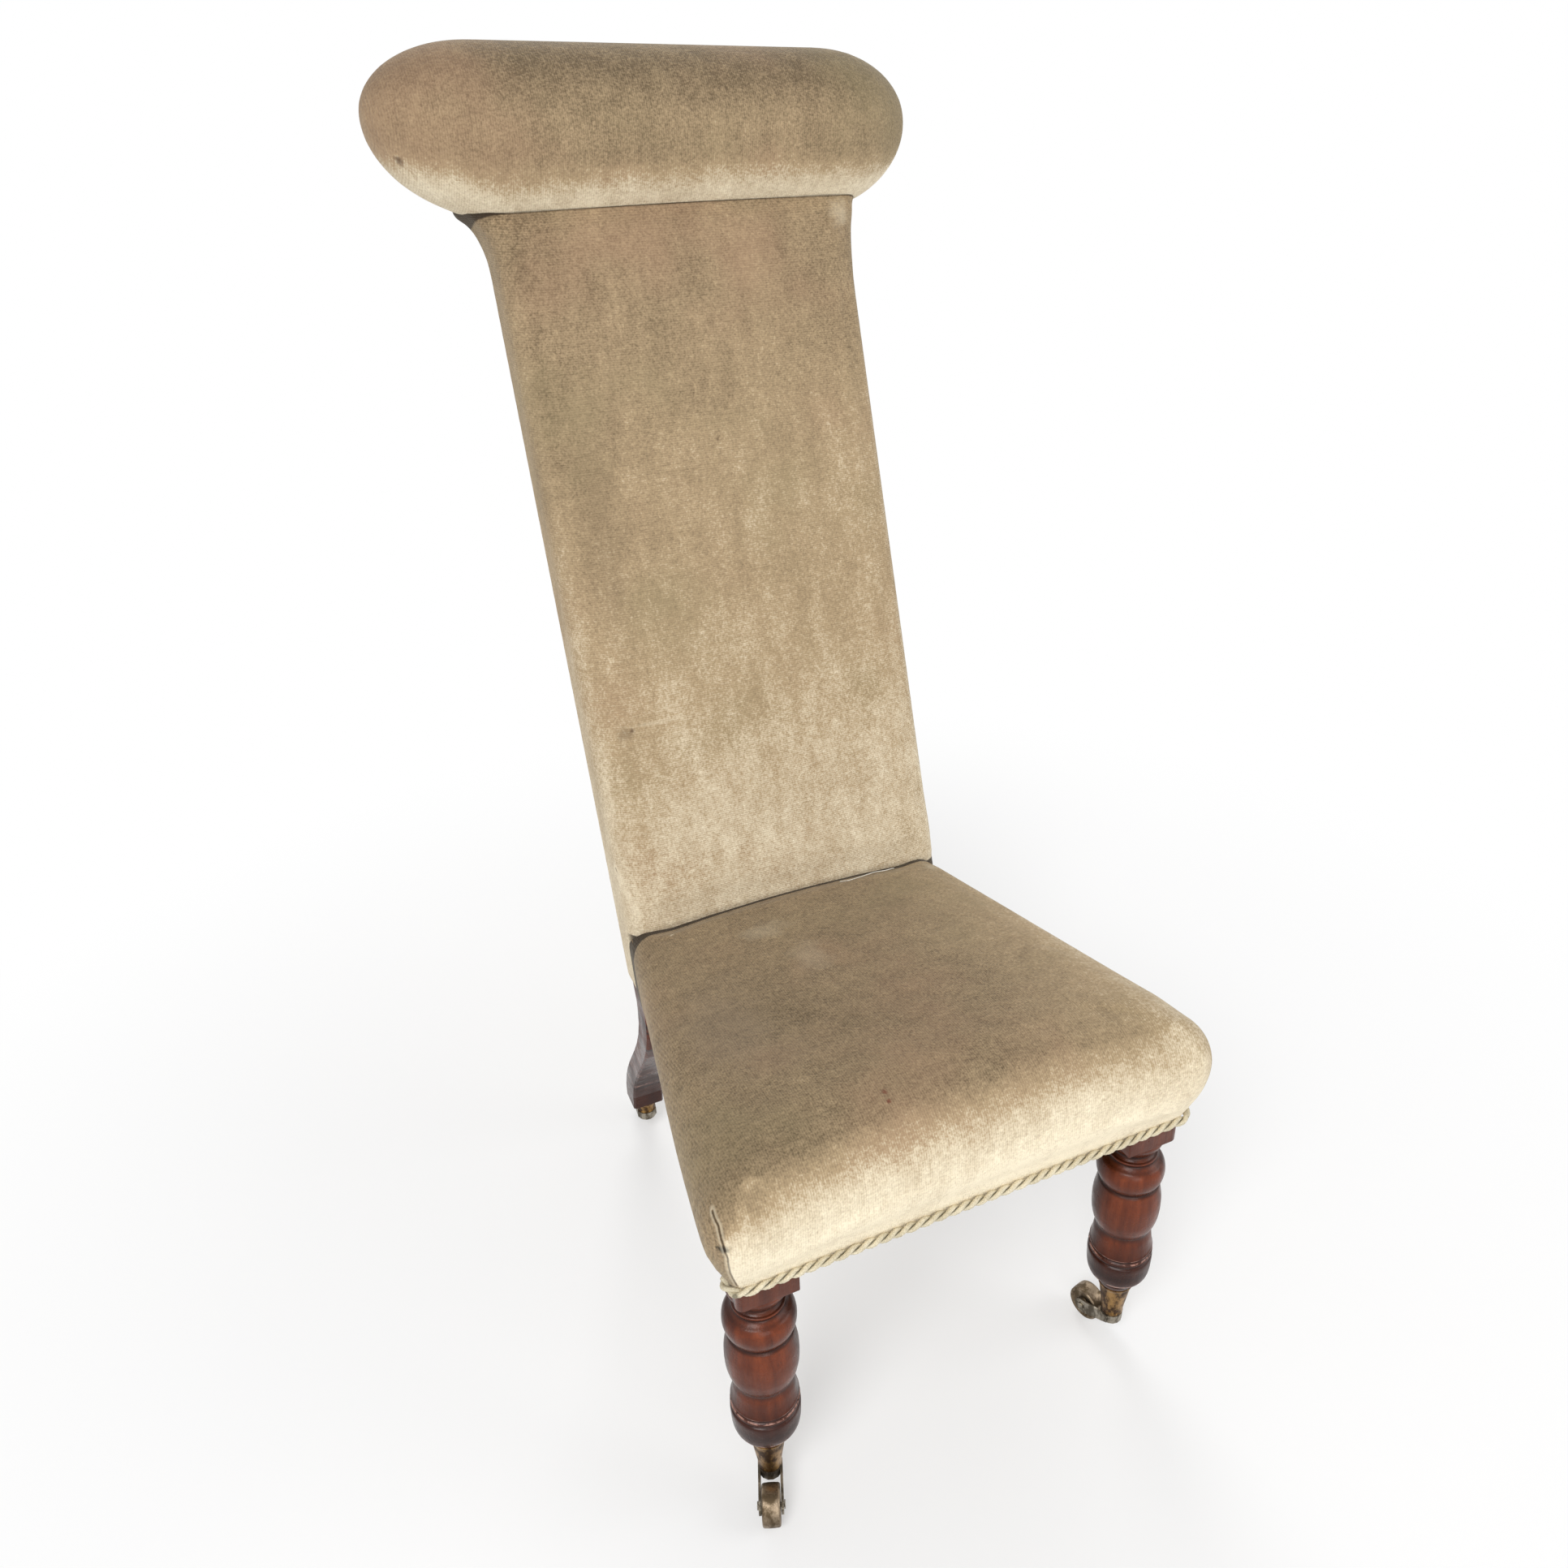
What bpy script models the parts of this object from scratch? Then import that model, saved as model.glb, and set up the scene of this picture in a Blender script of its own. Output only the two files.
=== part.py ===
# Prayer chair: a low seat and a tall padded back under a roll, in mahogany and velvet, on brass castors.
# Metres, +Z up. The front faces -Y, and the origin is on the floor below the middle of the chair.

import bpy
import bmesh
from collections import namedtuple
from math import asin, atan, cos, hypot, pi, radians, sin, sqrt, tan
from mathutils import Matrix, Vector

# Fits
FIT_GAP = 0.0003            # between pieces that touch
RUN_GAP = 0.0006            # between pieces that turn past each other
STUFFING_GAP = 0.0008       # between a cover and its stuffing
CUT_OVERRUN = 0.030         # how far a cutter passes what it cuts
JOIN_OVERLAP = 0.004        # how far joined shapes run into each other
SMOOTH_ANGLE = radians(38)

# Castors, from the floor up
WHEEL_RADIUS = 0.016
WHEEL_WIDTH = 0.0145
WHEEL_EDGE = 0.002          # chamfer of the tread's edges
WHEEL_RIM = 0.003           # height of the rim round the dished face
WHEEL_DISH = 0.0012         # depth of the dish
WHEEL_SIDES = 20
AXLE_RADIUS = 0.002
AXLE_HEAD_RADIUS = 0.0033
AXLE_HEAD_HEIGHT = 0.0009
AXLE_SIDES = 8
CASTOR_TRAIL = 0.0262       # from the swivel's axis to the wheel's axle
CHEEK_THICKNESS = 0.002
CHEEK_BOSS_RADIUS = 0.0072
BOSS_START = radians(-60)   # the boss's outline leaves the crown's underside here
BOSS_ARC = radians(200)
BOSS_STEPS = 8
CROWN_RADIUS = 0.0096
CROWN_BOTTOM = 0.0215
CROWN_THICKNESS = 0.0087
CROWN_SIDES = 14
PINTLE_RADIUS = 0.0025
PINTLE_HEAD_RADIUS = 0.0042
PINTLE_HEAD_HEIGHT = 0.0020
PINTLE_CLEARANCE = 0.0004
SOCKET_FLOOR = 0.0055       # thickness of the socket's bottom, round the pintle
SOCKET_WALL = 0.0016
SOCKET_BOTTOM_RADIUS = 0.0090
SOCKET_WAIST_SHARE = 0.45   # of its height, where it is halfway out
SOCKET_SIDES = 16
FRONT_SOCKET_HEIGHT = 0.0395
FRONT_SOCKET_TOP_RADIUS = 0.0152
REAR_SOCKET_HEIGHT = 0.0140
REAR_SOCKET_TOP_RADIUS = 0.0125
CASTOR_TURNS = {            # from the front towards the left
    "front_left": radians(21.5),
    "front_right": radians(166.7),
    "rear_left": radians(188.0),
    "rear_right": radians(172.0),
}

# Front legs
LEG_SPACING = 0.330         # between the two leg axes
LEG_BLOCK = 0.048           # side of the square block at the seat
BLOCK_CORNER = 0.006        # rounding of the block's outer corner
BLOCK_CORNER_STEPS = 4
BLOCK_DROP = 0.0245         # how far the block hangs below the rails
LEG_RADIUS = 0.0282         # at the ball, the leg's widest place
LEG_SIDES = 22
SPIGOT_LENGTH = 0.026
# Turned profile, from the block down: share of the leg's radius, share of the turned length
LEG_PROFILE_SHARES = (
    (0.840, 1.000), (0.862, 0.974), (0.837, 0.940), (0.674, 0.918), (0.730, 0.904), (0.798, 0.895),
    (0.790, 0.884), (0.755, 0.872), (0.872, 0.850), (0.957, 0.821), (0.986, 0.785), (0.957, 0.751),
    (0.882, 0.722), (0.840, 0.707), (0.890, 0.694), (0.943, 0.657), (0.989, 0.600), (1.000, 0.534),
    (0.975, 0.469), (0.922, 0.430), (0.823, 0.397), (0.762, 0.377), (0.869, 0.350), (0.887, 0.303),
    (0.929, 0.257), (0.869, 0.229), (0.929, 0.203), (0.965, 0.109), (0.936, 0.083), (0.780, 0.069),
    (0.603, 0.061), (0.567, 0.046), (0.585, 0.030), (0.532, 0.000),
)

# Seat frame
FRAME_BOTTOM = 0.2705
RAIL_HEIGHT = 0.0502
RAIL_THICKNESS = 0.025
REAR_RAIL_THICKNESS = 0.022
BRACE_THICKNESS = 0.018
BRACE_HEIGHT = 0.040
FRONT_BRACE_REACH = 0.062   # along each rail, from the leg's axis
REAR_BRACE_REACH = 0.046
TENON_THICKNESS = 0.010
TENON_HEIGHT = 0.038
TENON_LENGTH = 0.0105

# Rear posts: the swept leg and the raked upright in one piece
SEAT_TAPER = 0.039          # how far a post's outer face stands inside a leg block's
POST_WIDTH = 0.032
POST_DEPTH = 0.0276         # square to the rake
POST_EDGE = 0.0018          # rounding of its long edges
KNEE_Y = 0.327              # from the front legs' axes
KNEE_DROP = 0.0255          # the knee, under the seat frame
SWEEP_DROP = 0.010          # where the sweep of the leg starts, under the knee
LEG_SWEEP = 0.0995          # how far the foot stands behind the knee
SWEEP_STEPS = 10
BACK_RAKE = radians(17.7)

# Back frame, along the posts' upper line from the knee
ROLL_ALONG = 0.7441         # the roll's axis, up the rake
ROLL_FORWARD = 0.0086       # the roll's axis, in front of the posts' line
CROSS_RAIL_INSET = 0.0413   # from the roll's tip to the rail's end
CROSS_RAIL_HEIGHT = 0.060
BACK_RAIL_THICKNESS = 0.022
BOTTOM_RAIL_ALONG = 0.136   # middle of the back's lower rail
BOTTOM_RAIL_HEIGHT = 0.050

# Webbing, springs and hessian
WEB_SHARE = 0.588           # width of a strap, of the spacing of the seat's straps
WEB_THICKNESS = 0.0018
WEB_EASE = 0.002            # flat part of a strap past each crossing
WEB_INSET = 0.006           # from a strap's end to the frame's edge
SEAT_WEB_SHARE = 0.72       # spacing of the seat's straps, of the room from the middle to a post
SEAT_WEB_STEP = 0.167       # the middle strap across, in front of the knee
BACK_WEB_SHARES = (-0.466, 0.466)
BACK_CROSS_WEB_SHARES = (0.330, 0.525, 0.720)
BACK_WEB_TOP_LAP = 0.022    # how far the long straps and the hessian reach up the cross rail
SPRING_WIRE = 0.0032
SPRING_END_SHARE = 0.353    # radius of the flat coils, of the straps' spacing
SPRING_WAIST_SHARE = 0.224
SPRING_TURNS = 3
SPRING_FLAT_TURNS = 0.5     # flat coil at each end
SPRING_POINTS_PER_TURN = 8
SEAT_HESSIAN_THICKNESS = 0.0010
BACK_HESSIAN_THICKNESS = 0.0008
HESSIAN_INSET = 0.008

# Seat cushion
COVER_THICKNESS = 0.0018
SEAT_FRONT_RISE = 0.0563    # from the frame's top to the top over the front edge
SEAT_CROWN_RISE = 0.0543
SEAT_REAR_RISE = 0.0183     # at the crease with the back
SEAT_CROWN_STEP = 0.307     # from the crown back to the knee
SEAT_CREASE_STEP = 0.007
SEAT_FALL = 0.90            # how the top falls from the crown to the crease: 1 is straight
SEAT_SIDE_DROP = 0.008      # how far the top falls from the middle to a side
SEAT_FRONT_BULGE = 0.0100   # how far the padding swells past the rail
SEAT_CORNER_BULGE = 0.0148
SEAT_BULGE_LENGTH = 0.420   # the swelling of the sides ends this far back
SEAT_EDGE_FRONT = 0.046     # rounding of the top edge, at the front
SEAT_EDGE_REAR = 0.016      # and at the rear
SEAT_CORNER_LEAST = 0.008   # least rounding of its corners in plan, on the top
SEAT_OVERHANG = 0.045       # from the knee back to the rear line of the cushion's form, behind its cut
WALL_SHARES = (0.0, 0.14, 0.50, 0.85)
SIDE_SHARES = (1.0, 0.72, 0.45, 0.20)
FRONT_SHARES = (0.66, 0.33, 0.0)
REAR_SHARES = (-0.6, 0.0, 0.6)
EDGE_STEPS = 4
CROWN_SHARES = (0.26, 0.52, 0.78)

# Braid
BRAID_RADIUS = 0.0032
BRAID_RESOLUTION = 2

# Back cushion, square to the rake
BACK_SIDE_PADDING = 0.0024  # outside the posts
BACK_FRONT = 0.033          # front face, from the posts' line
BACK_REAR = 0.0160          # rear edge of the side walls
BACK_CROWN = 0.003
BACK_CORNER = 0.022
BACK_CORNER_STEPS = 4
NECK_HEIGHT = 0.040         # over this the sides flare out under the roll
NECK_FLARE = 0.021
NECK_DROP = 0.0495          # the neck's top, under the roll's axis
BACK_FRONT_POINTS = 6
BACK_SPAN_SHARES = (0.0, 0.16, 0.4, 0.7, 1.0)
NECK_SHARES = (0.35, 0.6, 0.78, 0.9, 0.97, 1.0)

# Roll
ROLL_RADIUS = 0.065
ROLL_HALF_LENGTH = 0.2313
ROLL_TIP_RISE = 0.010       # how far the tips stand above the axis
ROLL_TOP_DOME = 0.0813      # length of the domed end, along the top
ROLL_BOTTOM_DOME = 0.1013
ROLL_RING_POINTS = 20
ROLL_DOME_STEPS = 5
ROLL_BODY_SHARES = (0.0, 0.5)

# Places that follow from the sizes
AXLE_HEIGHT = WHEEL_RADIUS * cos(pi / WHEEL_SIDES)
CHEEK_INSIDE = WHEEL_WIDTH / 2 + RUN_GAP
CROWN_TOP = CROWN_BOTTOM + CROWN_THICKNESS
SOCKET_BOTTOM = CROWN_TOP + FIT_GAP
FRONT_SOCKET_TOP = SOCKET_BOTTOM + FRONT_SOCKET_HEIGHT
REAR_SOCKET_TOP = SOCKET_BOTTOM + REAR_SOCKET_HEIGHT
LEG_X = LEG_SPACING / 2
BLOCK_HALF = LEG_BLOCK / 2
KNEE_HEIGHT = FRAME_BOTTOM - KNEE_DROP
SWEEP_TOP = KNEE_HEIGHT - SWEEP_DROP
BLOCK_BOTTOM = FRAME_BOTTOM - BLOCK_DROP
TURNED_BOTTOM = FRONT_SOCKET_TOP + FIT_GAP
FRAME_TOP = FRAME_BOTTOM + RAIL_HEIGHT
FRAME_MIDDLE = FRAME_BOTTOM + RAIL_HEIGHT / 2
FRAME_FRONT = -BLOCK_HALF
FRONT_HALF_WIDTH = LEG_X + BLOCK_HALF
POST_OUTSIDE = FRONT_HALF_WIDTH - SEAT_TAPER
POST_INSIDE = POST_OUTSIDE - POST_WIDTH
POST_X = POST_OUTSIDE - POST_WIDTH / 2
POST_FRONT = POST_DEPTH / 2
FOOT_BOTTOM = REAR_SOCKET_TOP + FIT_GAP
FOOT_Y = KNEE_Y + LEG_SWEEP
SEAT_WEB_SPACING = POST_INSIDE * SEAT_WEB_SHARE
WEB_WIDTH = SEAT_WEB_SPACING * WEB_SHARE
SEAT_WEB_MIDDLE_Y = KNEE_Y - SEAT_WEB_STEP
SPRING_END_RADIUS = SEAT_WEB_SPACING * SPRING_END_SHARE
SPRING_WAIST_RADIUS = SEAT_WEB_SPACING * SPRING_WAIST_SHARE
WEB_WAVE = (WEB_THICKNESS + FIT_GAP) / 2
SEAT_HESSIAN_TOP = FRAME_TOP + FIT_GAP + SEAT_HESSIAN_THICKNESS
BACK_WEB_PLANE = POST_FRONT + FIT_GAP + WEB_THICKNESS / 2
BACK_HESSIAN_REAR = BACK_WEB_PLANE + WEB_WAVE + WEB_THICKNESS / 2 + FIT_GAP
BACK_STUFFING_REAR = BACK_HESSIAN_REAR + BACK_HESSIAN_THICKNESS + FIT_GAP
CUSHION_FLOOR = SEAT_HESSIAN_TOP + FIT_GAP
COVER_STAND = COVER_THICKNESS + FIT_GAP
SEAT_TOP_FRONT = FRAME_TOP + SEAT_FRONT_RISE
SEAT_CROWN = FRAME_TOP + SEAT_CROWN_RISE
SEAT_TOP_REAR = FRAME_TOP + SEAT_REAR_RISE
SEAT_CROWN_Y = KNEE_Y - SEAT_CROWN_STEP
SEAT_CREASE_Y = KNEE_Y - SEAT_CREASE_STEP
SEAT_OVERHANG_Y = KNEE_Y + SEAT_OVERHANG
BACK_HALF_WIDTH = POST_OUTSIDE + BACK_SIDE_PADDING
FLAP_FRONT = POST_FRONT
POST_TOP_ALONG = ROLL_ALONG - CROSS_RAIL_HEIGHT / 2 - FIT_GAP
ROLL_Y = KNEE_Y + ROLL_ALONG * sin(BACK_RAKE) - ROLL_FORWARD * cos(BACK_RAKE)
ROLL_Z = KNEE_HEIGHT + ROLL_ALONG * cos(BACK_RAKE) + ROLL_FORWARD * sin(BACK_RAKE)
NECK_TOP = ROLL_Z - NECK_DROP
CROSS_RAIL_HALF = ROLL_HALF_LENGTH - CROSS_RAIL_INSET
BACK_CROSS_WEBS_ALONG = tuple(ROLL_ALONG * share for share in BACK_CROSS_WEB_SHARES)
SIDE_TAPER = (FRONT_HALF_WIDTH - POST_OUTSIDE) / (KNEE_Y - FRAME_FRONT)
SIDE_SLANT = hypot(1, SIDE_TAPER)
SIDES = (("left", -1), ("right", 1))


def clear_scene():
    for thing in list(bpy.data.objects):
        bpy.data.objects.remove(thing)


def new_collection(name):
    collection = bpy.data.collections.new(name)
    bpy.context.scene.collection.children.link(collection)
    return collection


clear_scene()
CHAIR = new_collection("prayer_chair")
CUTTERS = new_collection("cutters")


def new_material(name, colour, roughness, metallic=0.0):
    made = bpy.data.materials.new(name)
    made.use_nodes = True
    shader = made.node_tree.nodes["Principled BSDF"]
    shader.inputs["Base Color"].default_value = (*colour, 1)
    shader.inputs["Roughness"].default_value = roughness
    shader.inputs["Metallic"].default_value = metallic
    made.diffuse_color = (*colour, 1)
    return made


MAHOGANY = new_material("mahogany", (0.156, 0.036, 0.014), 0.32)
BEECH = new_material("beech", (0.42, 0.27, 0.14), 0.7)
VELVET = new_material("velvet", (0.43, 0.32, 0.18), 0.9)
BRAID = new_material("braid", (0.46, 0.36, 0.22), 0.85)
WEBBING = new_material("webbing", (0.36, 0.27, 0.17), 0.95)
HESSIAN = new_material("hessian", (0.33, 0.24, 0.13), 0.95)
STUFFING = new_material("stuffing", (0.10, 0.07, 0.05), 1.0)
SPRING_STEEL = new_material("spring_steel", (0.30, 0.22, 0.15), 0.5, 1.0)
BRASS = new_material("brass", (0.22, 0.13, 0.035), 0.42, 1.0)
BRONZE = new_material("bronze", (0.10, 0.085, 0.06), 0.48, 1.0)


def new_empty(name, place, parent=None, turn=(0, 0, 0)):
    empty = bpy.data.objects.new(name, None)
    CHAIR.objects.link(empty)
    empty.parent = parent
    empty.location = place
    empty.rotation_euler = turn
    return empty


ROOT = new_empty("chair", (0, 0, 0))
# In the back's frame X is across, Y runs up the rake from the knee, and Z points forward, square to it
BACK = new_empty("back", (0, KNEE_Y, KNEE_HEIGHT), ROOT, (pi / 2 - BACK_RAKE, 0, 0))
ROLL = new_empty("roll", (0, ROLL_Y, ROLL_Z), ROOT)
UPRIGHT_PLANE = Matrix(((0, 0, 1, 0), (1, 0, 0, 0), (0, 1, 0, 0), (0, 0, 0, 1)))


def add_part(name, mesh, material, parent=None, smooth=False):
    part = bpy.data.objects.new(name, mesh)
    CHAIR.objects.link(part)
    part.parent = parent or ROOT
    mesh.materials.clear()
    mesh.materials.append(material)
    if smooth:
        mesh.shade_smooth()
        mesh.set_sharp_from_angle(angle=SMOOTH_ANGLE)
    return part


def add_tool(name, mesh, parent=None):
    """A shape that only cuts, or joins, a part."""
    tool = bpy.data.objects.new(name, mesh)
    CUTTERS.objects.link(tool)
    tool.parent = parent or ROOT
    tool.hide_render = True
    tool.display_type = "WIRE"
    return tool


def boolean(part, tool, operation):
    change = part.modifiers.new(tool.name, "BOOLEAN")
    change.operation = operation
    change.solver = "EXACT"
    change.object = tool


def cut(part, tool):
    boolean(part, tool, "DIFFERENCE")


def join(part, tool):
    boolean(part, tool, "UNION")


def mesh_of(thing):
    """The mesh that a curve or a modified object evaluates to, welded; the object itself is removed."""
    bpy.context.view_layer.update()
    evaluated = thing.evaluated_get(bpy.context.evaluated_depsgraph_get())
    mesh = bpy.data.meshes.new_from_object(evaluated)
    shape = bmesh.new()
    shape.from_mesh(mesh)
    bmesh.ops.remove_doubles(shape, verts=shape.verts, dist=FIT_GAP / 30)
    bmesh.ops.recalc_face_normals(shape, faces=shape.faces)
    shape.to_mesh(mesh)
    shape.free()
    bpy.data.objects.remove(thing)
    return mesh


def mesh_from(shape, name):
    bmesh.ops.recalc_face_normals(shape, faces=shape.faces)
    mesh = bpy.data.meshes.new(name)
    shape.to_mesh(mesh)
    shape.free()
    return mesh


def box_mesh(name, low, high):
    shape = bmesh.new()
    low, high = Vector(low), Vector(high)
    size = high - low
    place = Matrix.Translation((low + high) / 2) @ Matrix.Diagonal((*size, 1))
    bmesh.ops.create_cube(shape, size=1, matrix=place)
    return mesh_from(shape, name)


def cylinder_mesh(name, radius, low, high, sides, matrix=Matrix.Identity(4)):
    shape = bmesh.new()
    place = matrix @ Matrix.Translation((0, 0, (low + high) / 2))
    bmesh.ops.create_cone(shape, cap_ends=True, segments=sides, radius1=radius, radius2=radius,
                          depth=high - low, matrix=place)
    return mesh_from(shape, name)


def plate_mesh(name, outline, low, high, upright=False):
    """A flat outline with a thickness: level, from low to high in Z, or upright, from low to high in X."""
    curve = bpy.data.curves.new(name, "CURVE")
    curve.dimensions = "2D"
    curve.fill_mode = "BOTH"
    curve.extrude = (high - low) / 2
    spline = curve.splines.new("POLY")
    spline.points.add(len(outline) - 1)
    for point, (a, b) in zip(spline.points, outline):
        point.co = (a, b, 0, 1)
    spline.use_cyclic_u = True
    thing = bpy.data.objects.new(name, curve)
    CUTTERS.objects.link(thing)
    mesh = mesh_of(thing)
    mesh.transform(Matrix.Translation((0, 0, (low + high) / 2)))
    if upright:
        mesh.transform(UPRIGHT_PLANE)
    return mesh


def turned_mesh(name, profile, sides, ring=False):
    """A profile of (radius, height) turned about Z; a ring's profile is a closed loop off the axis."""
    mesh = bpy.data.meshes.new(name)
    edges = [(i, i + 1) for i in range(len(profile) - 1)]
    if ring:
        edges.append((len(profile) - 1, 0))
    mesh.from_pydata([(radius, 0, height) for radius, height in profile], edges, [])
    thing = bpy.data.objects.new(name, mesh)
    CUTTERS.objects.link(thing)
    screw = thing.modifiers.new("turn", "SCREW")
    screw.steps = sides
    screw.render_steps = sides
    screw.use_merge_vertices = True
    screw.merge_threshold = FIT_GAP / 30
    return mesh_of(thing)


def wire_mesh(name, points, radius, resolution):
    curve = bpy.data.curves.new(name, "CURVE")
    curve.dimensions = "3D"
    curve.bevel_depth = radius
    curve.bevel_resolution = resolution
    curve.use_fill_caps = True
    spline = curve.splines.new("POLY")
    spline.points.add(len(points) - 1)
    for point, place in zip(spline.points, points):
        point.co = (*place, 1)
    thing = bpy.data.objects.new(name, curve)
    CUTTERS.objects.link(thing)
    return mesh_of(thing)


def lofted(rows, closed):
    """A surface through rows of points; closed rows run round, and a row of one point is a tip."""
    shape = bmesh.new()
    grid = [[shape.verts.new(point) for point in row] for row in rows]
    for row, after in zip(grid, grid[1:]):
        longer = max(len(row), len(after))
        for i in range(longer if closed else longer - 1):
            j = (i + 1) % longer
            if len(row) == 1:
                shape.faces.new((row[0], after[j], after[i]))
            elif len(after) == 1:
                shape.faces.new((row[i], row[j], after[0]))
            else:
                shape.faces.new((row[i], row[j], after[j], after[i]))
    # A cover and its stuffing share their diagonals, so that the space between them stays even
    bmesh.ops.triangulate(shape, faces=shape.faces, quad_method="FIXED")
    shape.normal_update()
    return shape


def draw_in(shape, distance):
    """Move a surface inwards by an even distance."""
    shape.normal_update()
    moves = [(vert, vert.normal * distance * vert.calc_shell_factor()) for vert in shape.verts]
    for vert, move in moves:
        vert.co -= move


def loft_mesh(name, shape):
    mesh = bpy.data.meshes.new(name)
    shape.to_mesh(mesh)
    shape.free()
    return mesh


def solidify(part, thickness):
    shell = part.modifiers.new("thickness", "SOLIDIFY")
    shell.thickness = thickness
    shell.offset = -1
    shell.use_even_offset = True


def smoothstep(share):
    share = min(max(share, 0), 1)
    return share * share * (3 - 2 * share)


def side_line(y):
    """Half the frame's width at a depth: its side faces run straight from the front legs to the posts."""
    return FRONT_HALF_WIDTH - SIDE_TAPER * (y - FRAME_FRONT)


def side_x(y):
    """The same, with the posts' outer faces behind it."""
    return max(side_line(y), POST_OUTSIDE)


def post_line(z):
    """Depth of a post's middle line at a height."""
    if z >= KNEE_HEIGHT:
        return KNEE_Y + tan(BACK_RAKE) * (z - KNEE_HEIGHT)
    return KNEE_Y + LEG_SWEEP * smoothstep((SWEEP_TOP - z) / (SWEEP_TOP - FOOT_BOTTOM))


def raked(forward, z):
    """The point (y, z) at a height on the line up the rake, this far in front of the posts' line."""
    return KNEE_Y + tan(BACK_RAKE) * (z - KNEE_HEIGHT) - forward / cos(BACK_RAKE), z


def frame_outline(outset):
    """Plan of the seat frame's outside, right rear to left rear by way of the front."""
    corner = BLOCK_CORNER + outset
    middle_y = FRAME_FRONT + BLOCK_CORNER
    middle_x = side_x(middle_y) - BLOCK_CORNER * SIDE_SLANT
    right = []
    for i in range(BLOCK_CORNER_STEPS + 1):
        angle = i / BLOCK_CORNER_STEPS * pi / 2
        right.append((middle_x + corner * cos(angle), middle_y - corner * sin(angle)))
    return right + [(-x, y) for x, y in reversed(right)]


def block_outline(side):
    """Plan of a leg's block: square inside, and in line with the frame's faces outside."""
    corner = [(x, y) for x, y in frame_outline(0) if x > 0]
    outline = [(LEG_X - BLOCK_HALF, BLOCK_HALF), (side_x(BLOCK_HALF), BLOCK_HALF), *corner,
               (LEG_X - BLOCK_HALF, FRAME_FRONT)]
    return [(side * x, y) for x, y in outline]


def socket_bore(height, top_radius, z):
    """Radius of a castor socket's bore at a height over its bottom."""
    low = SOCKET_BOTTOM_RADIUS - SOCKET_WALL
    return low + (top_radius - SOCKET_WALL - low) * (z - SOCKET_FLOOR) / (height - SOCKET_FLOOR)


def front_leg(name, side):
    block = plate_mesh(name, block_outline(side), BLOCK_BOTTOM, FRAME_TOP)
    leg = add_part(name, block, MAHOGANY)
    length = BLOCK_BOTTOM - TURNED_BOTTOM
    turned = [(LEG_RADIUS * r, TURNED_BOTTOM + length * z) for r, z in LEG_PROFILE_SHARES]
    # The spigot fills the socket's bore, whose flats lie nearer to its axis than its corners do
    spigot = []
    for down in (0, SPIGOT_LENGTH):
        bore = socket_bore(FRONT_SOCKET_HEIGHT, FRONT_SOCKET_TOP_RADIUS, FRONT_SOCKET_HEIGHT - down)
        spigot.append((bore * cos(pi / SOCKET_SIDES) - FIT_GAP, TURNED_BOTTOM - down))
    head_radius = turned[0][0]
    head = BLOCK_BOTTOM + JOIN_OVERLAP
    profile = [(0, head), (head_radius, head), *turned, *spigot, (0, TURNED_BOTTOM - SPIGOT_LENGTH)]
    mesh = turned_mesh(name + "_turned", profile, LEG_SIDES)
    mesh.shade_smooth()
    mesh.set_sharp_from_angle(angle=SMOOTH_ANGLE)
    turning = add_tool(name + "_turned", mesh)
    turning.location = (side * LEG_X, 0, 0)
    join(leg, turning)
    return leg


def post_outline():
    """Side view of a post, up its front edge and down its rear edge."""
    half = POST_FRONT / cos(BACK_RAKE)
    heights = [FOOT_BOTTOM + (SWEEP_TOP - FOOT_BOTTOM) * i / SWEEP_STEPS for i in range(SWEEP_STEPS + 1)]
    heights.append(KNEE_HEIGHT)
    top_y = KNEE_Y + POST_TOP_ALONG * sin(BACK_RAKE)
    top_z = KNEE_HEIGHT + POST_TOP_ALONG * cos(BACK_RAKE)
    across = Vector((-cos(BACK_RAKE), sin(BACK_RAKE))) * POST_FRONT
    front = [(post_line(z) - half, z) for z in heights]
    rear = [(post_line(z) + half, z) for z in reversed(heights)]
    top = Vector((top_y, top_z))
    return [*front, tuple(top + across), tuple(top - across), *rear]


def rear_post(name, side):
    outer, inner = side * POST_OUTSIDE, side * POST_INSIDE
    mesh = plate_mesh(name, post_outline(), min(outer, inner), max(outer, inner), upright=True)
    post = add_part(name, mesh, MAHOGANY)
    edges = post.modifiers.new("edges", "BEVEL")
    edges.width = POST_EDGE
    edges.segments = 1
    edges.limit_method = "ANGLE"
    edges.angle_limit = radians(60)
    return post


def tenon(rail, host, low, high, parent=None, turn=0.0, place=(0, 0, 0)):
    """A tenon on a rail, and the mortise round it in its host."""
    gap = Vector((FIT_GAP, FIT_GAP, FIT_GAP))
    tongue = add_tool(rail.name + "_tenon", box_mesh("tenon", low, high), parent)
    around = box_mesh("mortise", Vector(low) - gap, Vector(high) + gap)
    socket = add_tool(host.name + "_mortise", around, parent)
    for tool in (tongue, socket):
        tool.location = place
        tool.rotation_euler = (0, 0, turn)
    join(rail, tongue)
    cut(host, socket)


def rear_space(name, forward, low, high):
    """A tool that fills all behind a raked line, between two heights."""
    far_y = FOOT_Y + LEG_SWEEP
    outline = [raked(forward, low), raked(forward, high), (far_y, high), (far_y, low)]
    reach = FRONT_HALF_WIDTH + CUT_OVERRUN
    return add_tool(name, plate_mesh(name, outline, -reach, reach, upright=True))


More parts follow.
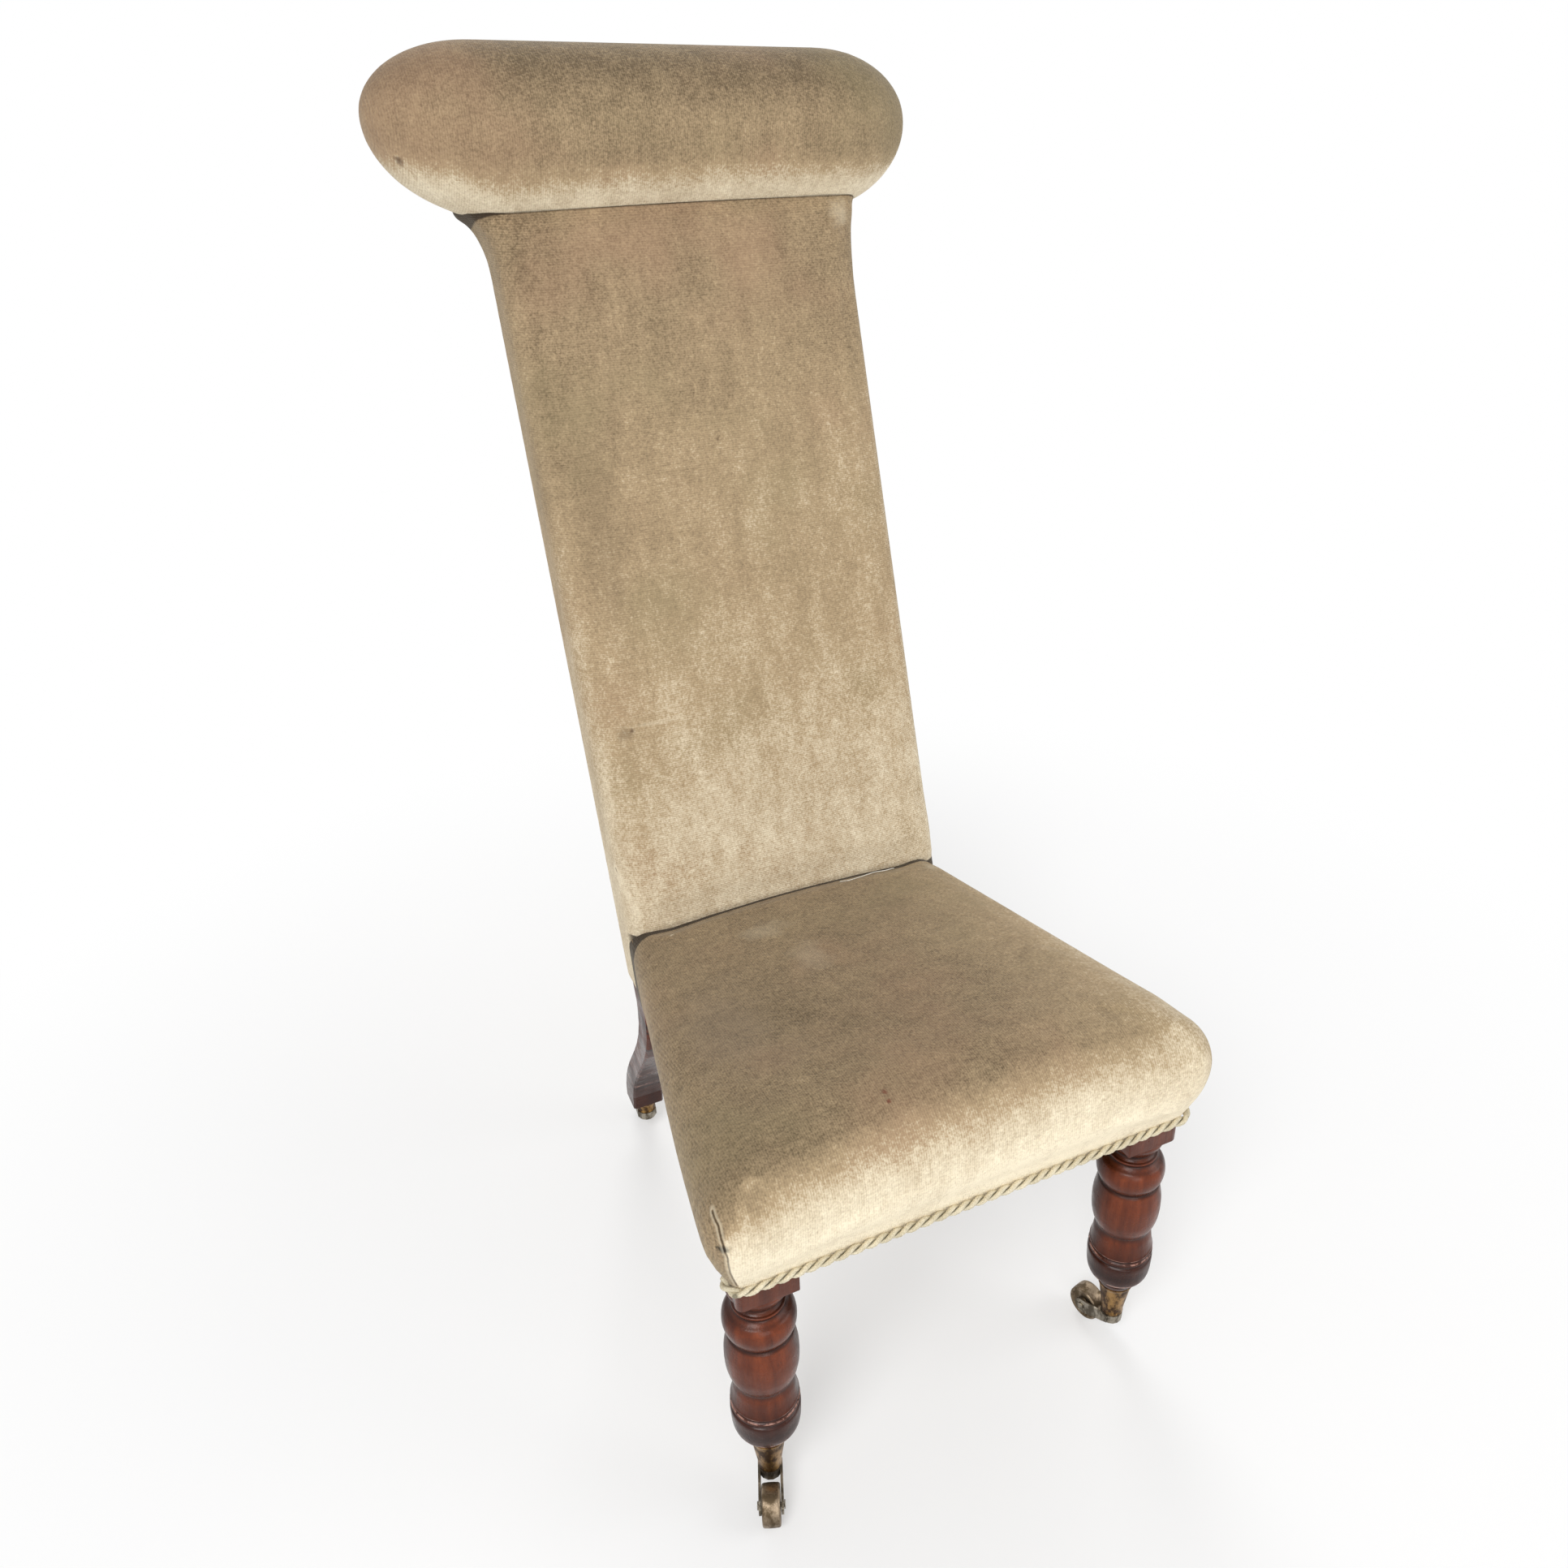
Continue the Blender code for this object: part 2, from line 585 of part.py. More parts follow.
def side_rail(name, side, leg, post, post_space):
    front_y = BLOCK_HALF + FIT_GAP
    rear_y = raked(POST_FRONT, FRAME_TOP)[0] + JOIN_OVERLAP
    inside = RAIL_THICKNESS * SIDE_SLANT
    front_x, rear_x = side_line(front_y), side_line(rear_y)
    outline = [(front_x, front_y), (rear_x, rear_y), (rear_x - inside, rear_y), (front_x - inside, front_y)]
    outline = [(side * x, y) for x, y in outline]
    rail = add_part(name, plate_mesh(name, outline, FRAME_BOTTOM, FRAME_TOP), BEECH)
    cut(rail, post_space)
    # The tenons run along the rail's own line
    turn = side * atan(SIDE_TAPER)
    half = TENON_THICKNESS / 2
    low_z, high_z = FRAME_MIDDLE - TENON_HEIGHT / 2, FRAME_MIDDLE + TENON_HEIGHT / 2
    middle = side * (side_line(front_y) - inside / 2)
    low, high = (-half, -TENON_LENGTH, low_z), (half, JOIN_OVERLAP, high_z)
    tenon(rail, leg, low, high, None, turn, (middle, front_y, 0))
    face_y = raked(POST_FRONT, FRAME_BOTTOM)[0]
    middle = side * (side_line(face_y) - inside / 2)
    reach = raked(POST_FRONT, high_z)[0] - face_y + TENON_LENGTH
    low, high = (-half, -JOIN_OVERLAP, low_z), (half, reach, high_z)
    tenon(rail, post, low, high, None, turn, (middle, face_y, 0))
    return rail


def front_rail(legs):
    end = LEG_X - BLOCK_HALF - FIT_GAP
    rear = FRAME_FRONT + RAIL_THICKNESS
    mesh = box_mesh("front_rail", (-end, FRAME_FRONT, FRAME_BOTTOM), (end, rear, FRAME_TOP))
    rail = add_part("front_rail", mesh, BEECH)
    middle = FRAME_FRONT + RAIL_THICKNESS / 2
    half = TENON_THICKNESS / 2
    for side, leg in legs:
        ends = sorted((side * (end - JOIN_OVERLAP), side * (end + TENON_LENGTH)))
        tenon(rail, leg, (ends[0], middle - half, FRAME_MIDDLE - TENON_HEIGHT / 2),
              (ends[1], middle + half, FRAME_MIDDLE + TENON_HEIGHT / 2))
    return rail


def rear_rail(posts):
    """The rail between the posts, raked as they are."""
    half = REAR_RAIL_THICKNESS / 2
    front = [raked(half, FRAME_BOTTOM), raked(half, FRAME_TOP)]
    outline = front + [raked(-half, FRAME_TOP), raked(-half, FRAME_BOTTOM)]
    end = POST_INSIDE - FIT_GAP
    rail = add_part("rear_rail", plate_mesh("rear_rail", outline, -end, end, upright=True), BEECH)
    along = (FRAME_MIDDLE - KNEE_HEIGHT) / cos(BACK_RAKE)
    for side, post in posts:
        back_tenon(rail, post, side, end, along)
    return rail


def back_tenon(rail, post, side, end, along):
    """A tenon at the end of a rail of the back's frame, on its middle line."""
    half = TENON_THICKNESS / 2
    ends = sorted((side * (end - JOIN_OVERLAP), side * (end + TENON_LENGTH)))
    low = (ends[0], along - TENON_HEIGHT / 2, -half)
    high = (ends[1], along + TENON_HEIGHT / 2, half)
    tenon(rail, post, low, high, BACK)


def brace(name, side, on_rail_a, on_rail_b, space):
    """A block across an inner corner, between its places on two rails, as tall as BRACE_HEIGHT."""
    (ax, ay), (bx, by) = on_rail_a, on_rail_b
    along = Vector((bx - ax, by - ay)).normalized()
    slide_a = BRACE_THICKNESS / abs(along.y)
    slide_b = BRACE_THICKNESS / abs(along.x)
    toward = 1 if by > ay else -1
    end_x, end_y = bx - SIDE_TAPER * slide_b * toward, by + toward * slide_b
    outline = [(side * x, y) for x, y in ((ax, ay), (bx, by), (end_x, end_y), (ax - slide_a, ay))]
    low = FRAME_MIDDLE - BRACE_HEIGHT / 2
    block = add_part(name, plate_mesh(name, outline, low, low + BRACE_HEIGHT), BEECH)
    if space:
        cut(block, space)
    return block


def seat_braces(rail_space):
    inside = RAIL_THICKNESS * SIDE_SLANT
    for word, side in SIDES:
        front_y = FRAME_FRONT + RAIL_THICKNESS + FIT_GAP
        side_y = FRONT_BRACE_REACH
        leg_x = LEG_X - FRONT_BRACE_REACH + BLOCK_HALF
        on_side = (side_x(side_y) - inside - FIT_GAP, side_y)
        brace(f"front_{word}_brace", side, (leg_x, front_y), on_side, None)
        rear_y = raked(REAR_RAIL_THICKNESS / 2, FRAME_MIDDLE + BRACE_HEIGHT / 2)[0]
        side_y = rear_y - REAR_BRACE_REACH - BLOCK_HALF
        post_x = POST_INSIDE - REAR_BRACE_REACH + BLOCK_HALF
        on_side = (side_x(side_y) - inside - FIT_GAP, side_y)
        brace(f"rear_{word}_brace", side, (post_x, rear_y), on_side, rail_space)


def back_rails(posts):
    front = POST_FRONT
    end = POST_INSIDE - FIT_GAP
    half = BOTTOM_RAIL_HEIGHT / 2
    low = (-end, BOTTOM_RAIL_ALONG - half, front - BACK_RAIL_THICKNESS)
    high = (end, BOTTOM_RAIL_ALONG + half, front)
    bottom = add_part("back_bottom_rail", box_mesh("back_bottom_rail", low, high), BEECH, BACK)
    for side, post in posts:
        back_tenon(bottom, post, side, end, BOTTOM_RAIL_ALONG)
    half = CROSS_RAIL_HEIGHT / 2
    end = CROSS_RAIL_HALF
    low = (-end, ROLL_ALONG - half, front - BACK_RAIL_THICKNESS)
    high = (end, ROLL_ALONG + half, front)
    cross = add_part("roll_cross_rail", box_mesh("roll_cross_rail", low, high), BEECH, BACK)
    middle = front - BACK_RAIL_THICKNESS / 2
    half = TENON_THICKNESS / 2
    for side, post in posts:
        x = side * POST_X
        tenon(post, cross, (x - half, POST_TOP_ALONG - JOIN_OVERLAP, middle - half),
              (x + half, POST_TOP_ALONG + TENON_LENGTH, middle + half), BACK)


def strap_profile(end_low, end_high, crossings, first_over):
    """Side view of a woven strap: flat over or under each strap that it crosses, and level at its ends."""
    level = [(end_low, 0)]
    half = WEB_WIDTH / 2 + WEB_EASE
    over = first_over
    for place in crossings:
        height = WEB_WAVE if over else -WEB_WAVE
        level += [(place - half, height), (place + half, height)]
        over = not over
    level.append((end_high, 0))
    # Near its ends the strap lies flat on the rail before it rises or dips
    ease = (level[1][0] - end_low) / 2
    level.insert(1, (end_low + ease, 0))
    level.insert(-1, (end_high - ease, 0))
    half = WEB_THICKNESS / 2
    return [(a, b + half) for a, b in level] + [(a, b - half) for a, b in reversed(level)]


def seat_webs():
    """Three straps each way, woven, under the rails."""
    plane = FRAME_BOTTOM - FIT_GAP - WEB_THICKNESS / 2
    across = [SEAT_WEB_MIDDLE_Y + i * SEAT_WEB_SPACING for i in (-1, 0, 1)]
    along = [i * SEAT_WEB_SPACING for i in (-1, 0, 1)]
    front = FRAME_FRONT + WEB_INSET
    rear = raked(-REAR_RAIL_THICKNESS / 2, FRAME_BOTTOM)[0] - WEB_INSET
    for i, x in enumerate(along):
        profile = [(a, plane + b) for a, b in strap_profile(front, rear, across, i % 2 == 0)]
        name = f"seat_web_long_{i + 1}"
        mesh = plate_mesh(name, profile, x - WEB_WIDTH / 2, x + WEB_WIDTH / 2, upright=True)
        add_part(name, mesh, WEBBING)
    for i, y in enumerate(across):
        end = side_x(y + WEB_WIDTH / 2) - WEB_INSET
        profile = strap_profile(-end, end, along, i % 2 == 1)
        name = f"seat_web_cross_{i + 1}"
        mesh = plate_mesh(name, profile, -WEB_WIDTH / 2, WEB_WIDTH / 2)
        # The outline's second axis turns up to Z, and its thickness turns to run along Y
        mesh.transform(Matrix.Translation((0, y, plane)) @ Matrix.Rotation(pi / 2, 4, "X"))
        add_part(name, mesh, WEBBING)


def spring_points(height):
    """A coil that narrows to its waist, with a flat turn at each end."""
    count = round(SPRING_TURNS * SPRING_POINTS_PER_TURN)
    flat = SPRING_FLAT_TURNS / SPRING_TURNS
    points = []
    for i in range(count + 1):
        share = i / count
        climb = min(max((share - flat) / (1 - 2 * flat), 0), 1)
        waist = sin(pi * share) ** 2
        radius = SPRING_END_RADIUS - (SPRING_END_RADIUS - SPRING_WAIST_RADIUS) * waist
        # The flat turns draw in slightly, so that a coil never meets the one that it joins
        angle = 2 * pi * SPRING_TURNS * share
        points.append((radius * cos(angle), radius * sin(angle), height * climb))
    return points


def least_gap(points, wire):
    """The least gap between a wire's stretches that lie more than half a turn apart."""
    apart = SPRING_POINTS_PER_TURN // 2
    places = [Vector(point) for point in points]
    gaps = [(a - b).length for i, a in enumerate(places) for b in places[i + apart:]]
    return min(gaps) - wire


def seat_springs():
    floor = FRAME_BOTTOM - FIT_GAP + WEB_WAVE + FIT_GAP + SPRING_WIRE / 2
    height = FRAME_TOP - SPRING_WIRE / 2 - floor
    points = spring_points(height)
    print("springs, least gap between coils: %.2f mm" % (least_gap(points, SPRING_WIRE) * 1000))
    crossings = ((-1, -1), (1, -1), (-1, 1), (1, 1), (0, 0))
    for i, (x, y) in enumerate([(x * SEAT_WEB_SPACING, y * SEAT_WEB_SPACING) for x, y in crossings]):
        mesh = wire_mesh(f"seat_spring_{i + 1}", points, SPRING_WIRE / 2, 1)
        spring = add_part(f"seat_spring_{i + 1}", mesh, SPRING_STEEL, smooth=True)
        spring.location = (x, SEAT_WEB_MIDDLE_Y + y, floor)


def seat_hessian():
    """A sheet on the rails' tops, with a tongue between the posts."""
    front = FRAME_FRONT + HESSIAN_INSET
    front_side = side_x(front) - HESSIAN_INSET
    outline = [(front_side, front), (-front_side, front)]
    rear = raked(POST_FRONT + HESSIAN_INSET, FRAME_TOP)[0]
    tongue = raked(0, FRAME_TOP)[0]
    side = side_x(rear) - HESSIAN_INSET
    narrow = POST_INSIDE - WEB_THICKNESS
    outline += [(-side, rear), (-narrow, rear), (-narrow, tongue)]
    outline += [(narrow, tongue), (narrow, rear), (side, rear)]
    bottom = FRAME_TOP + FIT_GAP
    mesh = plate_mesh("seat_hessian", outline, bottom, bottom + SEAT_HESSIAN_THICKNESS)
    add_part("seat_hessian", mesh, HESSIAN)


# A place on the cushion's foot, its outward direction, its swelling and its edge's rounding.
# Corner is 1 on the right corner, -1 on the left one, and 0 elsewhere
Station = namedtuple("Station", "x y nx ny swell edge corner")


def seat_stations():
    """Places round the cushion's foot."""
    corner = frame_outline(COVER_STAND)
    half = len(corner) // 2
    normals = [(cos(i / (half - 1) * pi / 2), -sin(i / (half - 1) * pi / 2)) for i in range(half)]
    slant = (1 / SIDE_SLANT, SIDE_TAPER / SIDE_SLANT)
    stations = []
    front_y = corner[0][1]
    for y in (SEAT_OVERHANG_Y, *[front_y + share * (KNEE_Y - front_y) for share in SIDE_SHARES]):
        x = side_x(y) + COVER_STAND * SIDE_SLANT
        swell = SEAT_CORNER_BULGE * (1 - smoothstep((y - front_y) / SEAT_BULGE_LENGTH))
        back = smoothstep((y - front_y) / (KNEE_Y - front_y))
        edge = SEAT_EDGE_FRONT + (SEAT_EDGE_REAR - SEAT_EDGE_FRONT) * back
        stations.append(Station(x, y, *slant, swell, edge, 0))
    for (x, y), (nx, ny) in zip(corner[:half], normals):
        stations.append(Station(x, y, nx, ny, SEAT_CORNER_BULGE, SEAT_EDGE_FRONT, 1))
    corner_x = corner[half - 1][0]
    for share in FRONT_SHARES:
        swell = SEAT_FRONT_BULGE + (SEAT_CORNER_BULGE - SEAT_FRONT_BULGE) * share ** 3
        stations.append(Station(corner_x * share, corner[half - 1][1], 0, -1, swell, SEAT_EDGE_FRONT, 0))
    left = [s._replace(x=-s.x, nx=-s.nx, corner=-s.corner) for s in reversed(stations[:-1])]
    rear_x = stations[0].x
    rear = [Station(rear_x * share, SEAT_OVERHANG_Y, 0, 1, 0, SEAT_EDGE_REAR, 0) for share in REAR_SHARES]
    # Counter-clockwise from above: the left side goes down to the front, and the right side comes back
    return [*reversed(left), *reversed(stations), *reversed(rear)]


def seat_top(x, y):
    """Height of the seat's top: crowned in front, and falling to the crease at the back."""
    if y < SEAT_CROWN_Y:
        share = (SEAT_CROWN_Y - y) / (SEAT_CROWN_Y - FRAME_FRONT)
        height = SEAT_CROWN - (SEAT_CROWN - SEAT_TOP_FRONT) * share ** 2
    else:
        share = (y - SEAT_CROWN_Y) / (SEAT_CREASE_Y - SEAT_CROWN_Y)
        height = SEAT_CROWN - (SEAT_CROWN - SEAT_TOP_REAR) * share ** SEAT_FALL
    return height - SEAT_SIDE_DROP * (x / side_x(y)) ** 2


def station_point(station, out):
    """The point this far out of a station; a rounded corner keeps its least rounding on the way in."""
    x, y = station.x + station.nx * out, station.y + station.ny * out
    if station.corner:
        short = max(SEAT_CORNER_LEAST - (BLOCK_CORNER + COVER_STAND + out), 0)
        x += short * (station.nx - station.corner)
        y += short * (station.ny + 1)
    return x, y


def seat_form():
    """The cushion's outer surface: walls, rounded edge and crown, open below."""
    stations = seat_stations()
    rows = [[] for _ in range(len(WALL_SHARES) + EDGE_STEPS + 1)]
    for station in stations:
        swell, edge = station.swell, station.edge
        top = seat_top(*station_point(station, swell - edge))
        wall_top = top - edge
        for row, share in enumerate(WALL_SHARES):
            out = swell * smoothstep(share)
            height = FRAME_BOTTOM + share * (wall_top - FRAME_BOTTOM)
            rows[row].append((*station_point(station, out), height))
        for step in range(EDGE_STEPS + 1):
            angle = step / EDGE_STEPS * pi / 2
            out = swell - edge + edge * cos(angle)
            height = wall_top + edge * sin(angle)
            rows[len(WALL_SHARES) + step].append((*station_point(station, out), height))
    middle = (0, (FRAME_FRONT + SEAT_OVERHANG_Y) / 2)
    for share in CROWN_SHARES:
        row = []
        for x, y, _ in rows[len(WALL_SHARES) + EDGE_STEPS]:
            x += (middle[0] - x) * share
            y += (middle[1] - y) * share
            row.append((x, y, seat_top(x, y)))
        rows.append(row)
    rows.append([(*middle, seat_top(*middle))])
    return lofted(rows, closed=True)


def cap_open_edges(shape):
    edges = [edge for edge in shape.edges if edge.is_boundary]
    bmesh.ops.holes_fill(shape, edges=edges)


def back_space():
    """The room that the back takes above the cushions' floor."""
    rear = -BACK_REAR - CUT_OVERRUN
    rows = [[(x, s, w) for x, w in back_section(s, -FIT_GAP, rear)] for s in back_levels()]
    form = lofted(rows, closed=True)
    cap_open_edges(form)
    space = add_tool("back_space", mesh_from(form, "back_space"), BACK)
    reach = FRONT_HALF_WIDTH + CUT_OVERRUN
    low = (-reach, FRAME_FRONT, FRAME_BOTTOM - CUT_OVERRUN * 3)
    floor = add_tool("under_cushions", box_mesh("under_cushions", low, (reach, FOOT_Y, CUSHION_FLOOR)))
    cut(space, floor)
    return space, floor


def seat_cushion(space_of_back):
    low, high = FRAME_BOTTOM - CUT_OVERRUN, SEAT_CROWN + CUT_OVERRUN
    space = rear_space("behind_seat", FLAP_FRONT + FIT_GAP, low, high)
    cover = add_part("seat_cover", loft_mesh("seat_cover", seat_form()), VELVET, smooth=True)
    solidify(cover, COVER_THICKNESS)
    cut(cover, space)
    cut(cover, space_of_back)
    form = seat_form()
    draw_in(form, COVER_THICKNESS + STUFFING_GAP)
    cap_open_edges(form)
    stuffing = add_part("seat_stuffing", mesh_from(form, "seat_stuffing"), STUFFING)
    frame = frame_outline(FIT_GAP)
    rear = SEAT_OVERHANG_Y + CUT_OVERRUN
    frame += [(-side_x(rear), rear), (side_x(rear), rear)]
    block = plate_mesh("seat_frame_space", frame, FRAME_BOTTOM - CUT_OVERRUN, CUSHION_FLOOR)
    for tool in (add_tool("seat_frame_space", block), space, space_of_back):
        cut(stuffing, tool)


def seat_braid():
    """A rope along the cover's foot: along the front, and round each corner to the back of the leg's block."""
    stand = COVER_STAND + BRAID_RADIUS + FIT_GAP * 2
    outline = frame_outline(stand)
    half = len(outline) // 2
    end_x = side_x(BLOCK_HALF) + stand * SIDE_SLANT
    plan = [(end_x, BLOCK_HALF), *outline[:half], (0, outline[half][1]), *outline[half:], (-end_x, BLOCK_HALF)]
    points = [(x, y, FRAME_BOTTOM + BRAID_RADIUS) for x, y in plan]
    mesh = wire_mesh("seat_braid", points, BRAID_RADIUS, BRAID_RESOLUTION)
    add_part("seat_braid", mesh, BRAID, smooth=True)


def neck_share(z):
    """How far a height lies up the neck, from 0 at its foot to 1 at its top."""
    return min(max((z - NECK_TOP + NECK_HEIGHT) / NECK_HEIGHT, 0), 1)


def back_half_width(z):
    """Half the back's width at a height: straight, then flaring out under the roll."""
    return BACK_HALF_WIDTH + NECK_FLARE * (1 - sqrt(1 - neck_share(z) ** 2))


def neck_slope(z):
    """How steeply the side runs outwards at a height below the neck's top."""
    share = neck_share(z)
    return NECK_FLARE / NECK_HEIGHT * share / sqrt(1 - share ** 2)


def back_levels():
    """Places up the rake for the back's sections, in the back's frame."""
    low = (FRAME_BOTTOM - KNEE_HEIGHT - CUT_OVERRUN) / cos(BACK_RAKE)
    neck = (NECK_TOP - NECK_HEIGHT - KNEE_HEIGHT) / cos(BACK_RAKE)
    top = (NECK_TOP - KNEE_HEIGHT) / cos(BACK_RAKE)
    levels = [low + (neck - low) * share for share in BACK_SPAN_SHARES]
    levels += [neck + (top - neck) * share for share in NECK_SHARES]
    return [*levels, top + CUT_OVERRUN]


def back_section(along, inset, rear):
    """Section of the back, left to right: a wall, the front with its crown, and the other wall."""
    half = back_half_width(KNEE_HEIGHT + along * cos(BACK_RAKE)) - inset
    front = BACK_FRONT - inset
    corner = BACK_CORNER - inset
    flat = half - corner
    # A section that starts on the rounded corner leaves the wall out
    rise = max(rear - front + corner, 0) / corner
    start = asin(rise)
    right = [(flat + corner * cos(start), rear)]
    if rise == 0:
        right.append((half, front - corner))
    for step in range(1, BACK_CORNER_STEPS):
        angle = start + step / BACK_CORNER_STEPS * (pi / 2 - start)
        right.append((flat + corner * cos(angle), front - corner + corner * sin(angle)))
    middle = []
    for i in range(BACK_FRONT_POINTS + 1):
        x = flat * (2 * i / BACK_FRONT_POINTS - 1)
        middle.append((x, front + BACK_CROWN * (1 - (x / flat) ** 2)))
    return [*[(-x, w) for x, w in right], *middle, *reversed(right)]


def back_cushion(under_cushions):
    low = (-FRONT_HALF_WIDTH, FRAME_FRONT, FRAME_BOTTOM - CUT_OVERRUN * 3)
    floor = add_tool("below_back", box_mesh("below_back", low, (FRONT_HALF_WIDTH, FOOT_Y, FRAME_BOTTOM)))
    wall = plate_mesh("before_flap", [
        raked(BACK_FRONT * 2, FRAME_BOTTOM - CUT_OVERRUN), raked(FLAP_FRONT, FRAME_BOTTOM - CUT_OVERRUN),
        raked(FLAP_FRONT, CUSHION_FLOOR), raked(BACK_FRONT * 2, CUSHION_FLOOR)],
        -FRONT_HALF_WIDTH, FRONT_HALF_WIDTH, upright=True)
    wall = add_tool("before_flap", wall)
    under_roll = add_tool("roll_space", loft_mesh("roll_space", roll_form(-FIT_GAP)), ROLL)
    cover_rows = [[(x, s, w) for x, w in back_section(s, 0, -BACK_REAR)] for s in back_levels()]
    mesh = loft_mesh("back_cover", lofted(cover_rows, closed=False))
    cover = add_part("back_cover", mesh, VELVET, BACK, smooth=True)
    solidify(cover, COVER_THICKNESS)
    for tool in (floor, wall, under_roll):
        cut(cover, tool)
    inset = COVER_THICKNESS + STUFFING_GAP
    start = (CUSHION_FLOOR - KNEE_HEIGHT) / cos(BACK_RAKE)
    levels = [start - CUT_OVERRUN, *[s for s in back_levels() if s > start]]
    rows = [[(x, s, w) for x, w in back_section(s, inset, BACK_STUFFING_REAR)] for s in levels]
    form = lofted(rows, closed=True)
    cap_open_edges(form)
    stuffing = add_part("back_stuffing", mesh_from(form, "back_stuffing"), STUFFING, BACK)
    cut(stuffing, under_cushions)
    cut(stuffing, under_roll)
    outside_back(under_roll)


def outside_back(under_roll):
    """The plain cover behind the posts, between the side walls of the back's cover."""
    inset = COVER_THICKNESS + FIT_GAP
    front = -POST_FRONT - FIT_GAP
    low = (FRAME_BOTTOM - KNEE_HEIGHT + BACK_REAR * sin(BACK_RAKE)) / cos(BACK_RAKE)
    under_axis = ROLL_ALONG - ROLL_RADIUS * cos(BACK_RAKE)
    right = []
    for s in [low, *[s for s in back_levels() if low < s < under_axis], under_axis]:
        z = KNEE_HEIGHT + s * cos(BACK_RAKE)
        right.append((back_half_width(z) - inset * hypot(1, neck_slope(z)), s))
    right.append((right[-1][0], ROLL_ALONG))
    outline = right + [(-x, s) for x, s in reversed(right)]
    mesh = plate_mesh("outside_back_cover", outline, -BACK_REAR, front)
    cover = add_part("outside_back_cover", mesh, VELVET, BACK)
    cut(cover, under_roll)


def back_webs_and_hessian():
    across = [POST_INSIDE * share for share in BACK_WEB_SHARES]
    top = POST_TOP_ALONG + BACK_WEB_TOP_LAP
    bottom = BOTTOM_RAIL_ALONG - BOTTOM_RAIL_HEIGHT / 2 + WEB_INSET
    for i, x in enumerate(across):
        profile = strap_profile(bottom, top, BACK_CROSS_WEBS_ALONG, i % 2 == 0)
        profile = [(s, BACK_WEB_PLANE + w) for s, w in profile]
        name = f"back_web_long_{i + 1}"
        mesh = plate_mesh(name, profile, x - WEB_WIDTH / 2, x + WEB_WIDTH / 2, upright=True)
        add_part(name, mesh, WEBBING, BACK)
    end = POST_OUTSIDE - WEB_INSET
    for i, along in enumerate(BACK_CROSS_WEBS_ALONG):
        profile = strap_profile(-end, end, across, i % 2 == 1)
        name = f"back_web_cross_{i + 1}"
        mesh = plate_mesh(name, profile, -WEB_WIDTH / 2, WEB_WIDTH / 2)
        mesh.transform(Matrix.Translation((0, along, BACK_WEB_PLANE)) @ Matrix.Rotation(pi / 2, 4, "X"))
        add_part(name, mesh, WEBBING, BACK)
    low = (-end, bottom, BACK_HESSIAN_REAR)
    high = (end, top, BACK_HESSIAN_REAR + BACK_HESSIAN_THICKNESS)
    add_part("back_hessian", box_mesh("back_hessian", low, high), HESSIAN, BACK)


def dome(reach, length):
    """Share of the full radius at a reach into a domed end of this length."""
    share = min(max(reach / length, 0), 1)
    return sqrt(1 - share * share)


def roll_form(inset):
    """The roll: round in section, with domed ends whose tips stand above its axis."""
    top_start = ROLL_HALF_LENGTH - ROLL_TOP_DOME
    bottom_start = ROLL_HALF_LENGTH - ROLL_BOTTOM_DOME
    middle_start = (top_start + bottom_start) / 2
    right = [bottom_start * share for share in ROLL_BODY_SHARES]
    for i in range(ROLL_DOME_STEPS):
        right.append(bottom_start + ROLL_BOTTOM_DOME * sin(i / ROLL_DOME_STEPS * pi / 2))
    places = [-x for x in reversed(right[1:])] + right
    rows = []
    for place in places:
        x = abs(place)
        top = ROLL_TIP_RISE + (ROLL_RADIUS - ROLL_TIP_RISE) * dome(x - top_start, ROLL_TOP_DOME)
        bottom = ROLL_TIP_RISE - (ROLL_RADIUS + ROLL_TIP_RISE) * dome(x - bottom_start, ROLL_BOTTOM_DOME)
        depth = ROLL_RADIUS * dome(x - middle_start, ROLL_HALF_LENGTH - middle_start)
        row = []
        for i in range(ROLL_RING_POINTS):
            angle = i / ROLL_RING_POINTS * 2 * pi
            row.append((place, depth * cos(angle), (top + bottom) / 2 + (top - bottom) / 2 * sin(angle)))
        rows.append(row)
    tip = [(ROLL_HALF_LENGTH, 0, ROLL_TIP_RISE)]
    form = lofted([[(-x, y, z) for x, y, z in tip], *rows, tip], closed=True)
    draw_in(form, inset)
    return form


def roll_cushion():
    cover = add_part("roll_cover", loft_mesh("roll_cover", roll_form(0)), VELVET, ROLL, smooth=True)
    solidify(cover, COVER_THICKNESS)
    half = POST_OUTSIDE + FIT_GAP
    rear = -POST_FRONT - FIT_GAP
    front = BACK_STUFFING_REAR + FIT_GAP
    start = POST_TOP_ALONG - ROLL_RADIUS - CUT_OVERRUN
    top = POST_TOP_ALONG + BACK_WEB_TOP_LAP + FIT_GAP
    slot = add_tool("roll_slot", box_mesh("roll_slot", (-half, start, rear), (half, top, front)), BACK)
    cut(cover, slot)
    inset = COVER_THICKNESS + STUFFING_GAP
    stuffing = add_part("roll_stuffing", loft_mesh("roll_stuffing", roll_form(inset)), STUFFING, ROLL)
    cut(stuffing, slot)
    gap = FIT_GAP
    end = CROSS_RAIL_HALF + gap
    half = CROSS_RAIL_HEIGHT / 2 + gap
    low = (-end, ROLL_ALONG - half, POST_FRONT - BACK_RAIL_THICKNESS - gap)
    high = (end, ROLL_ALONG + half, POST_FRONT + gap)
    cut(stuffing, add_tool("cross_rail_space", box_mesh("cross_rail_space", low, high), BACK))


